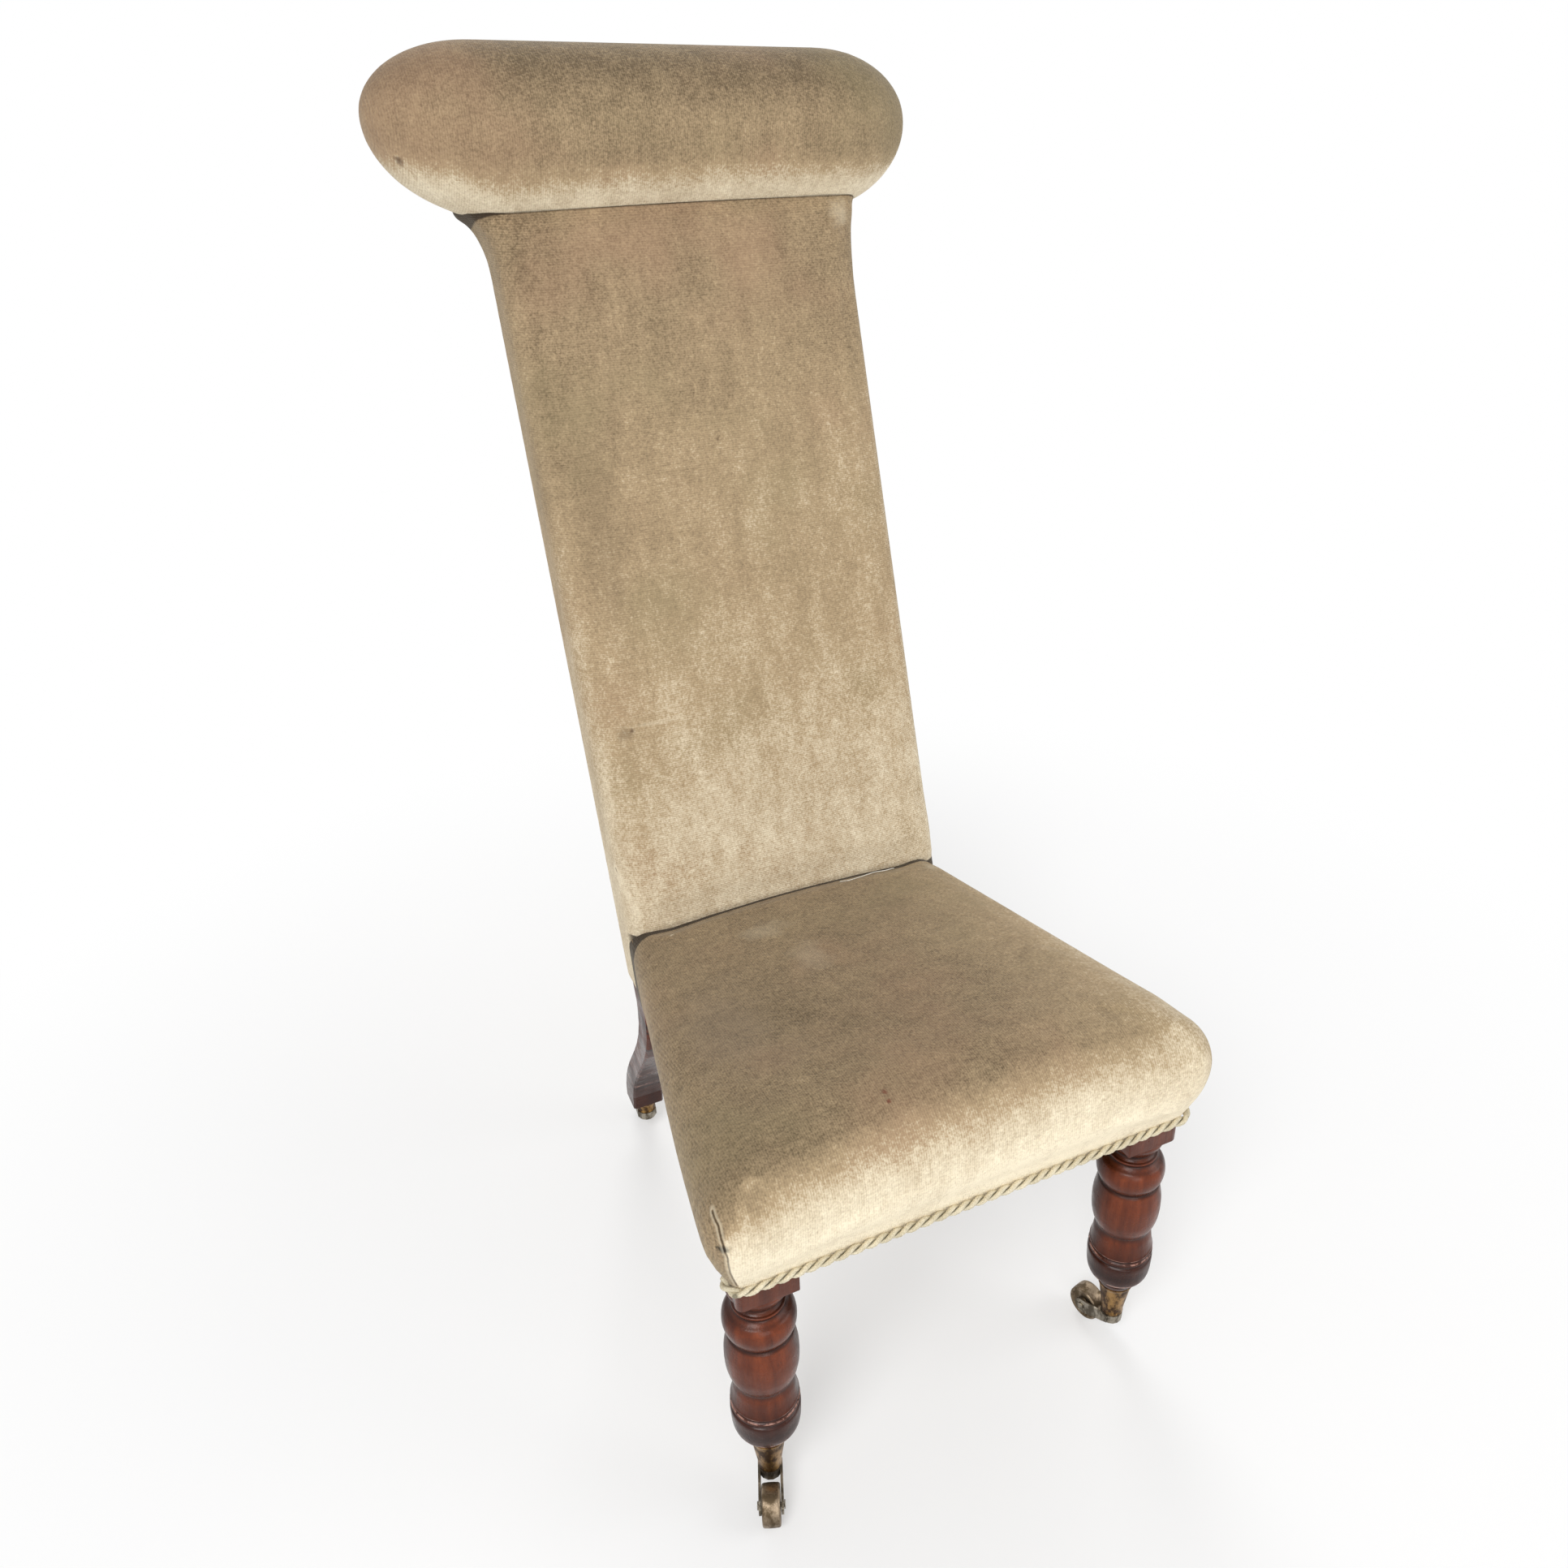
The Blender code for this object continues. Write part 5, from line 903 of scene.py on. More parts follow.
def seat_stations():
    """Places round the foot, each with its way outward, swelling, edge's rounding, and corner or not."""
    corner, angles = frame_outline(COVER_STAND, 12)
    front_y = corner[0][1]
    slant = hypot(1, SIDE_TAPER)
    places = []
    for i in range(29):
        y = SEAT_OVERHANG_Y + (front_y - SEAT_OVERHANG_Y) * i / 28
        swell = SEAT_CORNER_BULGE * (1 - smoothstep((y - front_y) / SEAT_BULGE_LENGTH))
        back = smoothstep((y - front_y) / (KNEE_Y - front_y))
        edge = SEAT_EDGE_CORNER + (SEAT_EDGE_REAR - SEAT_EDGE_CORNER) * back
        x = side_x(y) + COVER_STAND * slant
        places.append(Station(x, y, 1 / slant, SIDE_TAPER / slant, swell, edge, 0))
    for (x, y), angle in zip(corner[1:], angles[1:]):
        places.append(Station(x, y, cos(angle), -sin(angle), SEAT_CORNER_BULGE, SEAT_EDGE_CORNER, 1))
    corner_x, corner_y = corner[-1]
    for i in range(1, 15):
        share = 1 - i / 14
        swell = SEAT_FRONT_BULGE + (SEAT_CORNER_BULGE - SEAT_FRONT_BULGE) * share ** 3
        edge = SEAT_EDGE_FRONT + (SEAT_EDGE_CORNER - SEAT_EDGE_FRONT) * smoothstep(share * 1.6 - 0.6)
        places.append(Station(corner_x * share, corner_y, 0, -1, swell, edge, 0))
    left = [at._replace(x=-at.x, out_x=-at.out_x, corner=-at.corner) for at in reversed(places[:-1])]
    rear_x = places[0].x
    rear = [Station(rear_x * (i / 10 - 1), SEAT_OVERHANG_Y, 0, 1, 0, SEAT_EDGE_REAR, 0) for i in range(1, 20)]
    return [*places, *left, *rear]


def seat_top(x, y):
    """Height of the seat at a place: crowned in front, and falling to the crease."""
    if y < SEAT_CROWN_Y:
        share = (SEAT_CROWN_Y - y) / (SEAT_CROWN_Y - FRAME_FRONT)
        height = SEAT_CROWN - (SEAT_CROWN - SEAT_TOP_FRONT) * share ** 2
    else:
        share = (y - SEAT_CROWN_Y) / (SEAT_CREASE_Y - SEAT_CROWN_Y)
        height = SEAT_CROWN - (SEAT_CROWN - SEAT_TOP_REAR) * share ** SEAT_FALL
    return height - SEAT_SIDE_DROP * (x / side_x(y)) ** 2


def station_point(station, out):
    """A place so far out from a station; a corner keeps at least a small radius."""
    x, y = station.x + station.out_x * out, station.y + station.out_y * out
    if station.corner:
        short = max(SEAT_CORNER_LEAST - (BLOCK_CORNER + COVER_STAND + out), 0)
        x += short * (station.out_x - station.corner)
        y += short * (station.out_y + 1)
    return x, y


def seat_form():
    """The cushion's outside, smaller by the room that the simulation fills, and closed below."""
    stations = seat_stations()
    rows = [[] for _ in range(20)]
    for station in stations:
        swell, edge = station.swell - SIM_ROOM, station.edge
        top = seat_top(*station_point(station, swell - edge)) - SIM_ROOM
        wall_top = top - edge
        rows[0].append((*station_point(station, 0), FRAME_BOTTOM - SEAT_HEM_DROP))
        for i in range(9):
            share = i / 8 * SEAT_WALL_TOP
            early = sin(min(share / SEAT_FULL_AT, 1) * pi / 2)
            bulge = SEAT_EVEN_SWELL * smoothstep(share) + (1 - SEAT_EVEN_SWELL) * early
            height = FRAME_BOTTOM + share * (wall_top - FRAME_BOTTOM)
            rows[1 + i].append((*station_point(station, swell * bulge if station.swell else 0), height))
        for i in range(10):
            angle = i / 9 * pi / 2
            out = swell - edge + edge * cos(angle)
            rows[10 + i].append((*station_point(station, out), wall_top + edge * sin(angle)))
    middle = (0, (FRAME_FRONT + SEAT_OVERHANG_Y) / 2)
    for i in range(1, 12):
        share = i / 12
        row = [(x + (middle[0] - x) * share, y + (middle[1] - y) * share) for x, y, _ in rows[19]]
        rows.append([(x, y, seat_top(x, y) - SIM_ROOM) for x, y in row])
    rows.append([(*middle, seat_top(*middle) - SIM_ROOM)])
    return capped(lofted(rows, closed=True))


def seat_held(places):
    """Fast along the hem and at the back, free over the springs."""
    low = 1 - smoothstep((places[:, 2] - FRAME_BOTTOM) / 0.03)
    return np.maximum(low, smoothstep((places[:, 1] - SHIFT - SEAT_CREASE_Y + 0.02) / 0.02))


def seat_pressed(places):
    """The top dives into the crease with the back."""
    _, forward = in_back_frame(places)
    near = 1 - smoothstep((forward - CREASE_FRONT) / CREASE_REACH)
    near *= 1 - 0.8 * smoothstep((np.abs(places[:, 0]) - CREASE_SIDE) / 0.03)
    places[:, 2] -= CREASE_DIP * near * smoothstep((places[:, 2] - 0.30) / 0.03)
    return places


seat_cuts = (((0, 0, FRAME_BOTTOM), (0, 0, -1)), (KNEE + FORWARD * (POST_FRONT + 0.0004), -FORWARD))
seat = stuffed("seat_cushion", seat_form(), TO_CHAIR, VELVET_SEAT, 0.005, seat_held, seat_pressed, seat_cuts)
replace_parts(seat, "seat_cover", "seat_stuffing")


def compared(piece, node):
    """Say how a piece's box lies against its solid's."""
    places, (low, high) = coordinates(piece.data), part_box(node)
    under, over = (places.min(axis=0) - np.array(low)) * 1000, (places.max(axis=0) - np.array(high)) * 1000
    print("%s: %d faces; low side %+.1f %+.1f %+.1f mm, high side %+.1f %+.1f %+.1f mm" % (
        piece.name, len(piece.data.polygons), *under, *over))


compared(seat, "seat_cover")

# %% [markdown]
# The back is one long pad on the webbing between the posts. Its front is almost flat, its long edges
# are softly rounded, and under the roll its sides flare out like a neck. In the photograph the right side
# stands further out than the left one, and its neck starts lower, so the two sides have their own lines.

# %% Back cushion
BACK_HALF_WIDTH, BACK_FRONT = 0.1524, 0.033
BACK_REAR = 0.0154          # the pad ends here, in front of the outside back
BACK_BEHIND = 0.0230        # the form reaches further, and is trimmed
BACK_CROWN = 0.003
NECK_TOP, NECK_FLARE = 0.907, 0.021
NECK_HEIGHT = {-1: 0.044, 1: 0.085}
BACK_FULLER = {-1: -0.0003, 1: 0.0080}
BACK_CORNERS = {-1: 0.022, 1: 0.018}
BACK_HELD_BELOW, BACK_HELD_ABOVE = 0.08, 0.66    # up the rake, where the seat and the roll hold the pad


def back_half_width(z, side):
    """From the middle to one side of the back, which flares under the roll."""
    share = min(max((z - NECK_TOP + NECK_HEIGHT[side]) / NECK_HEIGHT[side], 0), 1)
    return BACK_HALF_WIDTH + BACK_FULLER[side] + NECK_FLARE * (1 - sqrt(1 - share ** 2))


def back_section(along):
    """Section of the pad, from the right rear round by its front to the left rear."""
    front = BACK_FRONT - SIM_ROOM
    sides = {}
    for side in (1, -1):
        corner = BACK_CORNERS[side]
        half = back_half_width(KNEE_HEIGHT + along * cos(BACK_RAKE), side)
        run = [(half, -BACK_BEHIND), (half, -0.004), (half, front - corner)]
        for i in range(1, 8):
            angle = i / 8 * pi / 2
            run.append((half - corner * (1 - cos(angle)), front - corner + corner * sin(angle)))
        sides[side] = run
    right_end, left_end = sides[1][-1][0], -sides[-1][-1][0]
    middle = []
    for i in range(1, 24):
        x = right_end + (left_end - right_end) * i / 24
        middle.append((x, front + BACK_CROWN * (1 - (2 * i / 24 - 1) ** 2)))
    return [*sides[1], *middle, *[(-x, w) for x, w in reversed(sides[-1])]]


def back_form():
    """The pad from below the seat up into the roll, closed at both ends."""
    low = (FRAME_BOTTOM - KNEE_HEIGHT) / cos(BACK_RAKE) - 0.02
    top = (NECK_TOP - KNEE_HEIGHT) / cos(BACK_RAKE)
    levels = [low + (top - low) * (1 - (1 - i / 60) ** 1.6) for i in range(61)] + [top + 0.02]
    rows = [[(x, s, w) for x, w in back_section(s)] for s in levels]
    return capped(lofted(rows, closed=True))


def back_held(places):
    """Fast along the rear edge, in the crease with the seat, and under the roll."""
    along, forward = in_back_frame(places)
    rear = 1 - smoothstep((forward + BACK_REAR) / 0.02)
    low = 1 - smoothstep((along - BACK_HELD_BELOW) / 0.03)
    high = smoothstep((along - BACK_HELD_ABOVE) / 0.03)
    return np.maximum(np.maximum(rear, low), high)


def back_pressed(places):
    """The face dives in under the roll, and rounds in a little to the seat's crease."""
    along, forward = in_back_frame(places)
    face = smoothstep((forward - 0.010) / 0.012)
    above = places[:, 2] + SEAT_REAR_DROP * places[:, 0] ** 2 - SEAT_REAR_CREASE
    high = 0.0035 * smoothstep((along - ROLL_CREASE + 0.014) / 0.014)
    low = 0.0015 * (1 - smoothstep(above / 0.006)) - 0.0018 * np.exp(-((above - 0.030) / 0.020) ** 2)
    return places - np.outer(face * (high + low), np.array(FORWARD))


back_cuts = (((0, 0, FRAME_BOTTOM), (0, 0, -1)), (KNEE - FORWARD * BACK_REAR, -FORWARD))
back = stuffed("back_cushion", back_form(), TO_BACK, VELVET_BACK, 0.005, back_held, back_pressed, back_cuts)
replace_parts(back, "back_cover", "back_stuffing")
compared(back, "back_cover")

# %% [markdown]
# The roll is a fat sausage of stuffing over the top rail. Its ends are domed, and their tips stand a
# little above its middle, because the cloth is drawn down and in under them.

# %% Roll
ROLL_RADIUS, ROLL_HALF_LENGTH = 0.065, 0.2313
ROLL_TIP_RISE, ROLL_TOP_DOME, ROLL_BOTTOM_DOME = 0.010, 0.0813, 0.1013
ROLL_LEFT_LONGER = 1.10     # the left dome is drawn out further than the right one
ROLL_LEAN = 0.0060          # the left end stands higher than the right one by twice this
ROLL_AT = (-0.0022, 0, 0.0030)


def dome_in(inward, length):
    """Share of the full height at a way in from the tip of a dome."""
    share = min(max(1 - inward / length, 0), 1)
    return sqrt(1 - share * share)


def roll_form():
    """The roll along X, each end a dome whose top is shorter than its underside."""
    top_start = ROLL_HALF_LENGTH - ROLL_TOP_DOME
    bottom_start = ROLL_HALF_LENGTH - ROLL_BOTTOM_DOME
    middle_start = (top_start + bottom_start) / 2
    right = [bottom_start * i / 12 for i in range(12)]
    right += [bottom_start + ROLL_BOTTOM_DOME * sin(i / 16 * pi / 2) for i in range(16)]
    rows = []
    for place in [-x for x in reversed(right[1:])] + right:
        longer = ROLL_LEFT_LONGER if place < 0 else 1
        inward = ROLL_HALF_LENGTH - abs(place)
        top = ROLL_TIP_RISE + (ROLL_RADIUS - ROLL_TIP_RISE) * dome_in(inward, ROLL_TOP_DOME * longer)
        bottom = ROLL_TIP_RISE - (ROLL_RADIUS + ROLL_TIP_RISE) * dome_in(inward, ROLL_BOTTOM_DOME * longer)
        depth = ROLL_RADIUS * dome_in(inward, ROLL_HALF_LENGTH - middle_start)
        rise = -ROLL_LEAN * place / ROLL_HALF_LENGTH
        drawn_up = smoothstep((abs(place) - 0.130) / 0.050)
        row = []
        for i in range(56):
            angle = i / 56 * 2 * pi
            height = (top + bottom) / 2 + (top - bottom) / 2 * sin(angle)
            lifted = max(smoothstep((height + 0.055) / 0.055), drawn_up)
            row.append((place, depth * cos(angle), height + rise * lifted))
        rows.append(row)
    right_tip = [(ROLL_HALF_LENGTH, 0, ROLL_TIP_RISE - ROLL_LEAN)]
    left_tip = [(-ROLL_HALF_LENGTH, 0, ROLL_TIP_RISE + ROLL_LEAN)]
    shape = lofted([left_tip, *rows, right_tip], closed=True)
    bmesh.ops.recalc_face_normals(shape, faces=shape.faces)
    shape.normal_update()
    for vert, move in [(vert, vert.normal * SIM_ROOM) for vert in shape.verts]:
        vert.co -= move
    return shape


def roll_held(places):
    """Fast where the cloth is drawn over the neck, below and behind."""
    below = 1 - smoothstep((places[:, 2] - ROLL_Z + 0.060) / 0.012)
    return np.where(np.abs(places[:, 0]) < 0.17, below, 0.0)


TO_ROLL = Matrix.Translation((ROLL_AT[0], ROLL_Y + SHIFT, ROLL_Z + ROLL_AT[2]))
roll = stuffed("roll_cushion", roll_form(), TO_ROLL, VELVET_ROLL, 0.005, roll_held, lambda places: places)
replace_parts(roll, "roll_cover", "roll_stuffing")
compared(roll, "roll_cover")

# %% [markdown]
# The outside back is a plain panel of the same velvet, stretched over the posts and nailed round its edge.
# It is one closed sheet. It pulls in a little between the posts, and is a little thicker along its edge.

# %% Outside back
PANEL_REAR, PANEL_THICKNESS, PANEL_TOP = 0.0160, 0.0015, 0.6900
PANEL_INSET = 0.0012        # its edge stands inside the pad's
PANEL_PULL = 0.0012         # how far it pulls in between the posts
PULL_START, PULL_REACH = 0.030, 0.06    # from its edge, where that starts, and over what width
PANEL_WAVER, PANEL_HEM, PANEL_HEM_WIDTH = 0.0006, 0.0007, 0.004


def panel_row(along, depth):
    """A line across the panel, so far up the rake and so deep in the cloth."""
    height = KNEE_HEIGHT + along * cos(BACK_RAKE)
    left, right = [back_half_width(height, side) - PANEL_INSET for side in (-1, 1)]
    row = []
    for i in range(49):
        share = i / 48
        x = -left + (left + right) * share
        edge = min(share, 1 - share) * (left + right)
        pull = PANEL_PULL * smoothstep((edge - PULL_START) / PULL_REACH)
        waver = PANEL_WAVER * noise.noise(Vector((x * 9, along * 9, 3.0)))
        hem = PANEL_HEM if edge < PANEL_HEM_WIDTH and depth > 0 else 0
        row.append((x, along, -PANEL_REAR - depth + pull + waver + hem))
    return row


def outside_back_form():
    """The panel as a thin closed form, and its length."""
    low = (FRAME_BOTTOM - KNEE_HEIGHT) / cos(BACK_RAKE) + 0.004
    rows = []
    for i in range(91):
        along = low + (PANEL_TOP - low) * i / 90
        inner, outer = panel_row(along, -PANEL_THICKNESS * 0.1), panel_row(along, PANEL_THICKNESS)
        rows.append([*inner, *reversed(outer)])
    return capped(lofted(rows, closed=True)), PANEL_TOP - low


panel_form, panel_length = outside_back_form()
panel_mesh = mesh_of(panel_form, "outside_back_panel", TO_BACK)
panel = new_piece("outside_back_panel", panel_mesh, VELVET_REAR)
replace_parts(panel, "outside_back_cover")
print("outside back: %.0f mm long" % (panel_length * 1000))

# %% [markdown]
# The rope along the hem is two strands laid round each other. Each strand is a tube that runs along a
# helix about the rope's line, and shallow grooves round the tube stand for its yarns.

# %% Rope and loose thread
STRAND_RADIUS, STRAND_OFFSET = 0.00180, 0.00175
ROPE_PITCH, YARNS, YARN_PITCH = 0.0225, 5, 0.0075
ROPE_RETURN = 0.005         # how far it goes round each corner
ROPE_STEP = 0.0009
ROPE_UNEVEN, YARN_GROOVE = 0.25, 0.09    # how much the lay wavers, and a groove's share of a strand's radius
THREAD_RADIUS = 0.00042
THREAD_LINE = (
    (0.0500, 0.0285, 0.3350), (0.0560, 0.0225, 0.3378), (0.0680, 0.0232, 0.3377), (0.0780, 0.0252, 0.3368),
    (0.0860, 0.0268, 0.3360), (0.0950, 0.0240, 0.3366), (0.1040, 0.0262, 0.3350), (0.1080, 0.0300, 0.3320),
)


def even_points(points, step):
    """The same line as points at an even distance."""
    places = np.array(points)
    runs = np.linalg.norm(np.diff(places, axis=0), axis=1)
    reach = np.concatenate([[0], np.cumsum(runs)])
    count = max(round(reach[-1] / step), 2)
    at = np.linspace(0, reach[-1], count + 1)
    return np.stack([np.interp(at, reach, places[:, axis]) for axis in range(3)], axis=1), at


def line_frames(places):
    """Two directions square to the line at each of its points."""
    ahead = np.gradient(places, axis=0)
    ahead /= np.linalg.norm(ahead, axis=1, keepdims=True)
    side = np.cross(ahead, (0.0, 0.0, 1.0))
    side /= np.linalg.norm(side, axis=1, keepdims=True)
    return side, np.cross(side, ahead)


def tube(places, radius_at, sides):
    """A tube round a line; radius_at(index, angle) lets it be grooved."""
    side, top = line_frames(places)
    rows = []
    for i, place in enumerate(places):
        row = []
        for j in range(sides):
            angle = 2 * pi * j / sides
            radius = radius_at(i, angle)
            row.append(tuple(place + side[i] * radius * cos(angle) + top[i] * radius * sin(angle)))
        rows.append(row)
    return capped(lofted(rows, closed=True))


def rope_line():
    """The rope's line along the hem, from round one front corner to round the other."""
    corner, _ = frame_outline(ROPE_STAND, 14)
    start_y = FRAME_FRONT + BLOCK_CORNER + ROPE_RETURN
    start = (side_x(start_y) + ROPE_STAND * hypot(1, SIDE_TAPER), start_y)
    right = [start, *corner]
    plan = right + [(-x, y) for x, y in reversed(right)]
    return [(x, y, FRAME_BOTTOM + ROPE_LINE_RADIUS) for x, y in plan]


def rope_strand(line, reach, turn):
    """One strand, whose helix starts at a turn and wavers a little."""
    side, top = line_frames(line)
    angle = 2 * pi * reach / ROPE_PITCH + turn + ROPE_UNEVEN * np.sin(reach * 90)
    around = side * np.cos(angle)[:, None] + top * np.sin(angle)[:, None]

    def grooved(i, spin):
        return STRAND_RADIUS * (1 + YARN_GROOVE * cos(YARNS * (spin + 2 * pi * reach[i] / YARN_PITCH)))

    return tube(line + around * STRAND_OFFSET, grooved, 20)


line, reach = even_points(rope_line(), ROPE_STEP)
rope_shape = bmesh.new()
for turn in (0, pi):
    strand = mesh_of(rope_strand(line, reach, turn), "strand")
    rope_shape.from_mesh(strand)
    bpy.data.meshes.remove(strand)
rope = new_piece("hem_rope", mesh_of(rope_shape, "hem_rope", TO_CHAIR), ROPE)
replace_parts(rope, "seat_braid")

thread_line, _ = even_points(THREAD_LINE, 0.0008)
for _ in range(6):
    thread_line[1:-1] = (thread_line[:-2] + 2 * thread_line[1:-1] + thread_line[2:]) / 4
thread_mesh = mesh_of(tube(thread_line, lambda i, angle: THREAD_RADIUS, 8), "loose_thread")
new_piece("loose_thread", thread_mesh, THREAD)
print("rope: %.0f mm, %d faces" % (reach[-1] * 1000, len(rope.data.polygons)))

# %% [markdown]
# The front legs are turned from one piece with their square block. The solid's profile is a chain of
# straight stretches. Here a smooth curve runs through nearly the same radii, with a deeper hollow under the
# block, two fillets at the foot, and many more sides round the axis.
# The block keeps its solid's plan, and its edges are eased.

# %% Front legs
LEG_RADIUS, TURNED_BOTTOM, BLOCK_BOTTOM = 0.0282, 0.0703, 0.246
LEG_SIDES = 96
LEG_IN_BLOCK = 0.004        # how far the turning runs on into the block
LEG_TOE = ((0.0126, 0.0690), (0.0103, 0.0560), (0.0081, 0.0420), (0, 0.0415))   # it stands in the castor
BLOCK_EASE = 0.0011
SHARP_ANGLE = radians(35)
LEG_PROFILE = (
    # share of the radius, share of the height
    (0.850, 1.000), (0.848, 0.985), (0.800, 0.962), (0.730, 0.943), (0.695, 0.935), (0.610, 0.929),
    (0.590, 0.906), (0.650, 0.894), (0.712, 0.889), (0.718, 0.882), (0.690, 0.872), (0.770, 0.857),
    (0.880, 0.844), (0.957, 0.821), (0.986, 0.785), (0.957, 0.751), (0.882, 0.722), (0.840, 0.707),
    (0.890, 0.694), (0.943, 0.657), (0.990, 0.610), (1.000, 0.555), (0.983, 0.505), (0.930, 0.462),
    (0.860, 0.432), (0.805, 0.413), (0.812, 0.397), (0.850, 0.370), (0.880, 0.332), (0.915, 0.300),
    (0.940, 0.286), (0.895, 0.276), (0.895, 0.270), (0.948, 0.262), (0.955, 0.252), (0.905, 0.244),
    (0.905, 0.237), (0.962, 0.227), (0.968, 0.195), (0.952, 0.140), (0.920, 0.110), (0.865, 0.090),
    (0.745, 0.074), (0.603, 0.061), (0.567, 0.046), (0.585, 0.030), (0.532, 0.000),
)


def curved(points, steps):
    """A smooth curve through points, a little tighter than the usual one."""
    places = [Vector(point) for point in points]
    places = [places[0] * 2 - places[1], *places, places[-1] * 2 - places[-2]]
    run = []
    for before, start, end, after in zip(places, places[1:], places[2:], places[3:]):
        length = (end - start).length
        leave = (end - before).normalized() * length * 0.85
        enter = (after - start).normalized() * length * 0.85
        for i in range(steps):
            t = i / steps
            run.append(start * (2 * t ** 3 - 3 * t ** 2 + 1) + leave * (t ** 3 - 2 * t ** 2 + t)
                       + end * (3 * t ** 2 - 2 * t ** 3) + enter * (t ** 3 - t ** 2))
    return [tuple(place) for place in [*run, places[-2]]]


def turned(profile, sides, ring=False):
    """A profile of (radius, height) turned about Z; radius 0 makes a tip, and a ring closes on itself."""
    rows = []
    for radius, height in profile:
        if radius < 1e-6:
            rows.append([(0, 0, height)])
        else:
            rows.append([(radius * cos(2 * pi * j / sides), radius * sin(2 * pi * j / sides), height)
                         for j in range(sides)])
    if not ring:
        return capped(lofted(rows, closed=True))
    shape = lofted([*rows, rows[0]], closed=True)
    bmesh.ops.remove_doubles(shape, verts=shape.verts, dist=1e-7)
    return shape


def leg_mesh(name, side):
    """A turned leg and its block, as one mesh."""
    height = BLOCK_BOTTOM - TURNED_BOTTOM
    outline = [(share * LEG_RADIUS, TURNED_BOTTOM + up * height) for share, up in LEG_PROFILE]
    head = BLOCK_BOTTOM + LEG_IN_BLOCK
    profile = [(0, head), (outline[0][0], head), *curved(outline, 6), *LEG_TOE]
    leg = mesh_of(turned(profile, LEG_SIDES), name, Matrix.Translation((side * LEG_X, 0, 0)))
    corner, _ = frame_outline(0, 10)
    inside = LEG_X - BLOCK_HALF
    plan = [(inside, BLOCK_HALF), (side_x(BLOCK_HALF), BLOCK_HALF), *corner, (inside, FRAME_FRONT)]
    rows = [[(side * x, y, z) for x, y in plan] for z in (BLOCK_BOTTOM, FRAME_TOP)]
    block = capped(lofted(rows, closed=True))
    bmesh.ops.recalc_face_normals(block, faces=block.faces)
    block.normal_update()
    rims = [edge for edge in block.edges if edge.calc_face_angle(0) > radians(30)]
    bmesh.ops.bevel(block, geom=rims, offset=BLOCK_EASE, segments=3, profile=0.5, affect="EDGES")
    block.from_mesh(leg)
    bpy.data.meshes.remove(leg)
    return mesh_of(block, name, TO_CHAIR)


def sharpened(piece):
    """Keep the corners crisp where faces meet at a wide angle."""
    piece.data.set_sharp_from_angle(angle=SHARP_ANGLE)
    return piece


for side, word in ((-1, "left"), (1, "right")):
    name = f"front_{word}_leg_turned"
    leg = sharpened(new_piece(name, leg_mesh(name, side), MAHOGANY))
    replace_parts(leg, f"front_{word}_leg")
print("front legs:", len(leg.data.polygons), "faces each")

# %% [markdown]
# Each castor is a cup for the leg's toe, a horn that swivels under it, and a wheel on an axle. The cup and
# the wheel are turned with fine rims here; the horn and the axle keep the solid's shape, with eased edges.

# %% Castors
POST_X, FOOT_Y = 0.134, 0.4265
SOCKET_BOTTOM, SOCKET_FLOOR, SOCKET_WALL = 0.0305, 0.0055, 0.0016
SOCKET_FOOT, SOCKET_BORE = 0.0090, 0.0030      # radii
SOCKET_HEIGHT = {"front": 0.0395, "rear": 0.0140}
SOCKET_TOP_RADIUS = {"front": 0.0152, "rear": 0.0125}
CASTOR_TURNS = {
    ("front", "left"): 21.5, ("front", "right"): 166.7, ("rear", "left"): 188.0, ("rear", "right"): 172.0}
WHEEL_PLACE = (0, -0.0262, 0.015803)
WHEEL_RADIUS, WHEEL_WIDTH = 0.0158, 0.0145


def castor_axis(depth, side):
    """A castor's place under its leg, turned to where it points."""
    sign = -1 if side == "left" else 1
    x, y = (LEG_X, 0) if depth == "front" else (POST_X, FOOT_Y)
    turn = Matrix.Rotation(-radians(CASTOR_TURNS[depth, side]), 4, "Z")
    return Matrix.Translation((sign * x, y + SHIFT, 0)) @ turn


def socket_profile(depth):
    """The cup's outside with a bead at its rim and its foot, and its bore."""
    height, wide = SOCKET_HEIGHT[depth], SOCKET_TOP_RADIUS[depth]
    outside = []
    for i in range(25):
        share = i / 24
        radius = SOCKET_FOOT + (wide - 0.0006 - SOCKET_FOOT) * share ** 1.15
        radius += 0.0007 * (1 - smoothstep(abs(share * height - 0.0012) / 0.0013))
        radius += 0.0008 * smoothstep((share * height - height + 0.0030) / 0.0012)
        outside.append((radius, SOCKET_BOTTOM + share * height))
    top = SOCKET_BOTTOM + height
    rim = [(wide - 0.0002, top + 0.0002), (wide - 0.0012, top + 0.0002)]
    floor = SOCKET_BOTTOM + SOCKET_FLOOR
    inside = [(SOCKET_FOOT - SOCKET_WALL, floor), (SOCKET_BORE, floor)]
    return [(SOCKET_BORE, SOCKET_BOTTOM), *outside, *rim, *inside]


def wheel_profile():
    """A wheel's section, from the bore out over hub, web, rim and tread, and back by the mirrored way."""
    half, edge = WHEEL_WIDTH / 2, 0.0018
    run = [(0.0023, -half + 0.0002), (0.0052, -half + 0.0002), (0.0058, -half + 0.0014),
           (0.0120, -half + 0.0014), (0.0127, -half + 0.0004), (WHEEL_RADIUS - edge, -half)]
    for i in range(1, 6):
        angle = i / 5 * pi / 2
        run.append((WHEEL_RADIUS - edge * (1 - sin(angle)) - 0.0002, -half + edge * (1 - cos(angle))))
    run.append((WHEEL_RADIUS, -half * 0.3))
    return run + [(radius, -across) for radius, across in reversed(run)]


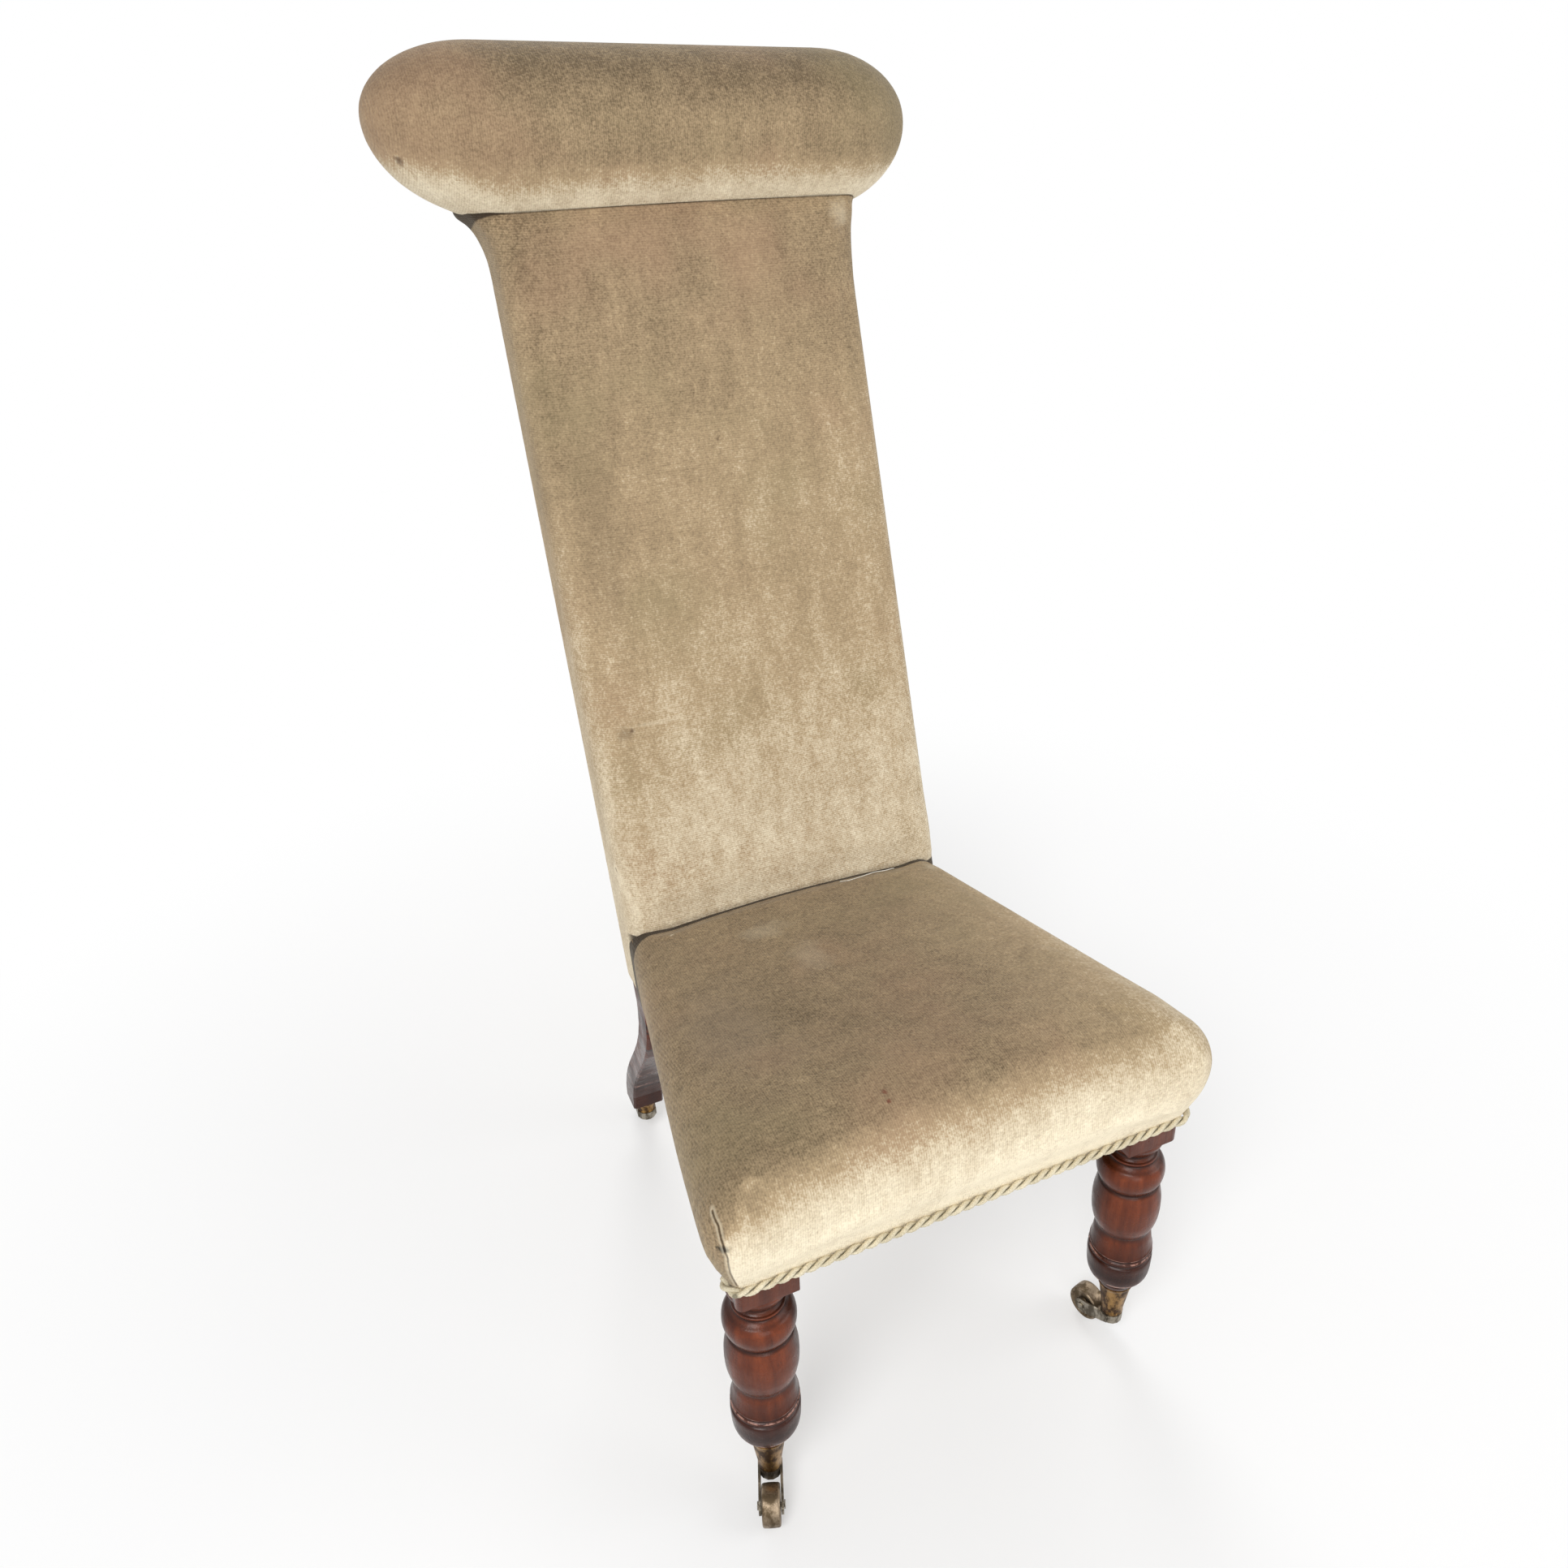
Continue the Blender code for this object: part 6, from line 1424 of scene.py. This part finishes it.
for depth, side in CORNERS:
    axis = castor_axis(depth, side)
    name = f"{depth}_{side}_castor"
    straight = Matrix.Translation(axis.to_translation())
    cup_mesh = mesh_of(turned(socket_profile(depth), 64, ring=True), name, straight)
    cup = new_piece(name + "_cup", cup_mesh, BRASS)
    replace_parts(sharpened(cup), name + "_socket")
    across = axis @ Matrix.Translation(WHEEL_PLACE) @ Matrix.Rotation(pi / 2, 4, "Y")
    wheel_mesh = mesh_of(turned(wheel_profile(), 72, ring=True), name, across)
    wheel = new_piece(name + "_roller", wheel_mesh, WHEEL_BRASS, f"{depth}_{side}_roller")
    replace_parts(sharpened(wheel), name + "_wheel")
print(len(CORNERS), "castors")

# %% [markdown]
# Under the seat and behind the pad, woven straps and hessian carry the springs and the stuffing.
# Each starts from its solid, is cut into small faces, loses its hard bends, and gets the slight
# unevenness of hand-stretched jute.

# %% Webbing and hessian
STRAP_STEP, STRAP_STEP_ACROSS, STRAP_ROUND = 0.004, 0.010, 0.011
HESSIAN_STEP = 0.012
STRAP_HALF_WIDTH = 0.025
STRAP_WAVER, EDGE_WAVER, HESSIAN_WAVER = 0.00012, 0.0005, 0.00025


def sliced(name, steps, matrix):
    """A copy of a solid's mesh, cut by planes along each axis that has a step, in a frame of its own."""
    node = NODES[name]
    shape = bmesh.new()
    shape.from_mesh(node.data)
    shape.transform(matrix.inverted() @ node.matrix_world)
    bmesh.ops.remove_doubles(shape, verts=shape.verts, dist=1e-6)
    bmesh.ops.dissolve_limit(shape, angle_limit=radians(1), verts=shape.verts, edges=shape.edges)
    for axis, step in enumerate(steps):
        if not step:
            continue
        low = min(vert.co[axis] for vert in shape.verts)
        high = max(vert.co[axis] for vert in shape.verts)
        count = ceil((high - low) / step)
        normal = [float(i == axis) for i in range(3)]
        for i in range(1, count):
            point = [value * (low + (high - low) * i / count) for value in normal]
            parts = shape.verts[:] + shape.edges[:] + shape.faces[:]
            bmesh.ops.bisect_plane(shape, geom=parts, plane_co=point, plane_no=normal)
    bmesh.ops.recalc_face_normals(shape, faces=shape.faces)
    return shape


def softened_strap(name, along, matrix, finish):
    """A strap along one axis, whose bends are rounded, with wavering edges."""
    across, through = 1 - along, 2
    steps = [0, 0, 0]
    steps[along], steps[across] = STRAP_STEP, STRAP_STEP_ACROSS
    shape = sliced(name, steps, matrix)
    places = np.array([vert.co for vert in shape.verts])
    stops = np.unique(np.round(places[:, along], 5))
    level = np.array([places[np.abs(places[:, along] - stop) < 2e-5, through].mean() for stop in stops])
    even = np.linspace(stops[0], stops[-1], 200)
    flat = np.interp(even, stops, level)
    reach = max(round(STRAP_ROUND / (even[1] - even[0])), 1)
    padded = np.pad(flat, reach, mode="edge")
    soft = np.convolve(padded, np.ones(2 * reach + 1) / (2 * reach + 1), mode="valid")
    change = (np.interp(places[:, along], even, soft) - np.interp(places[:, along], stops, level)) * 0.5
    middle = places[:, across].mean()
    for vert, lift in zip(shape.verts, change):
        vert.co[through] += lift + STRAP_WAVER * noise.noise(vert.co * 60)
        outward = (vert.co[across] - middle) / STRAP_HALF_WIDTH
        vert.co[across] += EDGE_WAVER * outward * noise.noise(Vector((vert.co[along] * 55, middle * 9, 1.0)))
    piece = new_piece(name + "_strap", mesh_of(shape, name, matrix), finish, smooth=False)
    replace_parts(piece, name)


def softened_hessian(name, matrix, finish):
    """A sheet of hessian that wavers faintly."""
    shape = sliced(name, (HESSIAN_STEP, HESSIAN_STEP, 0), matrix)
    for vert in shape.verts:
        vert.co.z += HESSIAN_WAVER * noise.noise(vert.co * 22)
    thickness = 2 * shape.calc_volume() / sum(face.calc_area() for face in shape.faces)
    open_edges = sum(len(edge.link_faces) != 2 for edge in shape.edges)
    print("%s: %.2f mm thick, %d open edges" % (name, thickness * 1000, open_edges))
    piece = new_piece(name + "_cloth", mesh_of(shape, name, matrix), finish, smooth=False)
    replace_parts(piece, name)


for i in (1, 2, 3):
    softened_strap(f"seat_web_long_{i}", 1, STILL, WEBBING)
    softened_strap(f"seat_web_cross_{i}", 0, STILL, WEBBING)
    softened_strap(f"back_web_cross_{i}", 0, TO_BACK, WEBBING_BACK)
for i in (1, 2):
    softened_strap(f"back_web_long_{i}", 1, TO_BACK, WEBBING_BACK)
softened_hessian("seat_hessian", STILL, HESSIAN)
softened_hessian("back_hessian", TO_BACK, HESSIAN_BACK)
print("webbing: 11 straps; hessian: 2 sheets")

# %% [markdown]
# The rest of the frame shows as its solids: beech rails and braces with eased edges, mahogany posts,
# coppered springs, and the castors' horns and axles.

# %% Finishes of the solids
SOLID_FINISHES = (
    # ending of the name, or several, then finish, slot and eased edge
    ("_post", MAHOGANY, "mahogany", 0.0016),
    (("front_rail", "rear_rail", "bottom_rail", "cross_rail"), FRAME_WOOD_X, "frame_wood", 0.0012),
    ("_side_rail", FRAME_WOOD_Y, "frame_wood", 0.0012),
    ("_brace", FRAME_WOOD_X, "frame_wood", 0.0010),
    ("_leg", MAHOGANY, "mahogany", 0),
    ("_fork", BRONZE, "bronze", 0.0004),
    ("_axle", BRONZE, "bronze", 0.0002),
    ("_socket", BRASS, "brass", 0),
    ("_wheel", WHEEL_BRASS, "bronze", 0),
    ("_cover", VELVET_SEAT, "velvet", 0),
    ("_stuffing", HESSIAN, "stuffing", 0),
    ("_hessian", HESSIAN, "hessian", 0),
    ("_braid", ROPE, "braid", 0),
)


def solid_finish(name):
    """Finish, slot and eased edge of a solid."""
    for ending, *found in SOLID_FINISHES:
        if name.endswith(ending):
            return found
    return (WEBBING, "webbing", 0) if "_web_" in name else (SPRING_STEEL, "spring_steel", 0)


eased_nodes = 0
for name, node in NODES.items():
    finish, slot, edge = solid_finish(name)
    node.data.materials.clear()
    node.data.materials.append(finish)
    if edge:
        soft = node.modifiers.new("eased", "BEVEL")
        soft.width = edge
        soft.segments = 2
        soft.limit_method = "ANGLE"
        soft.angle_limit = radians(40)
        soft.harden_normals = False
        eased_nodes += 1
print(eased_nodes, "solids with eased edges")
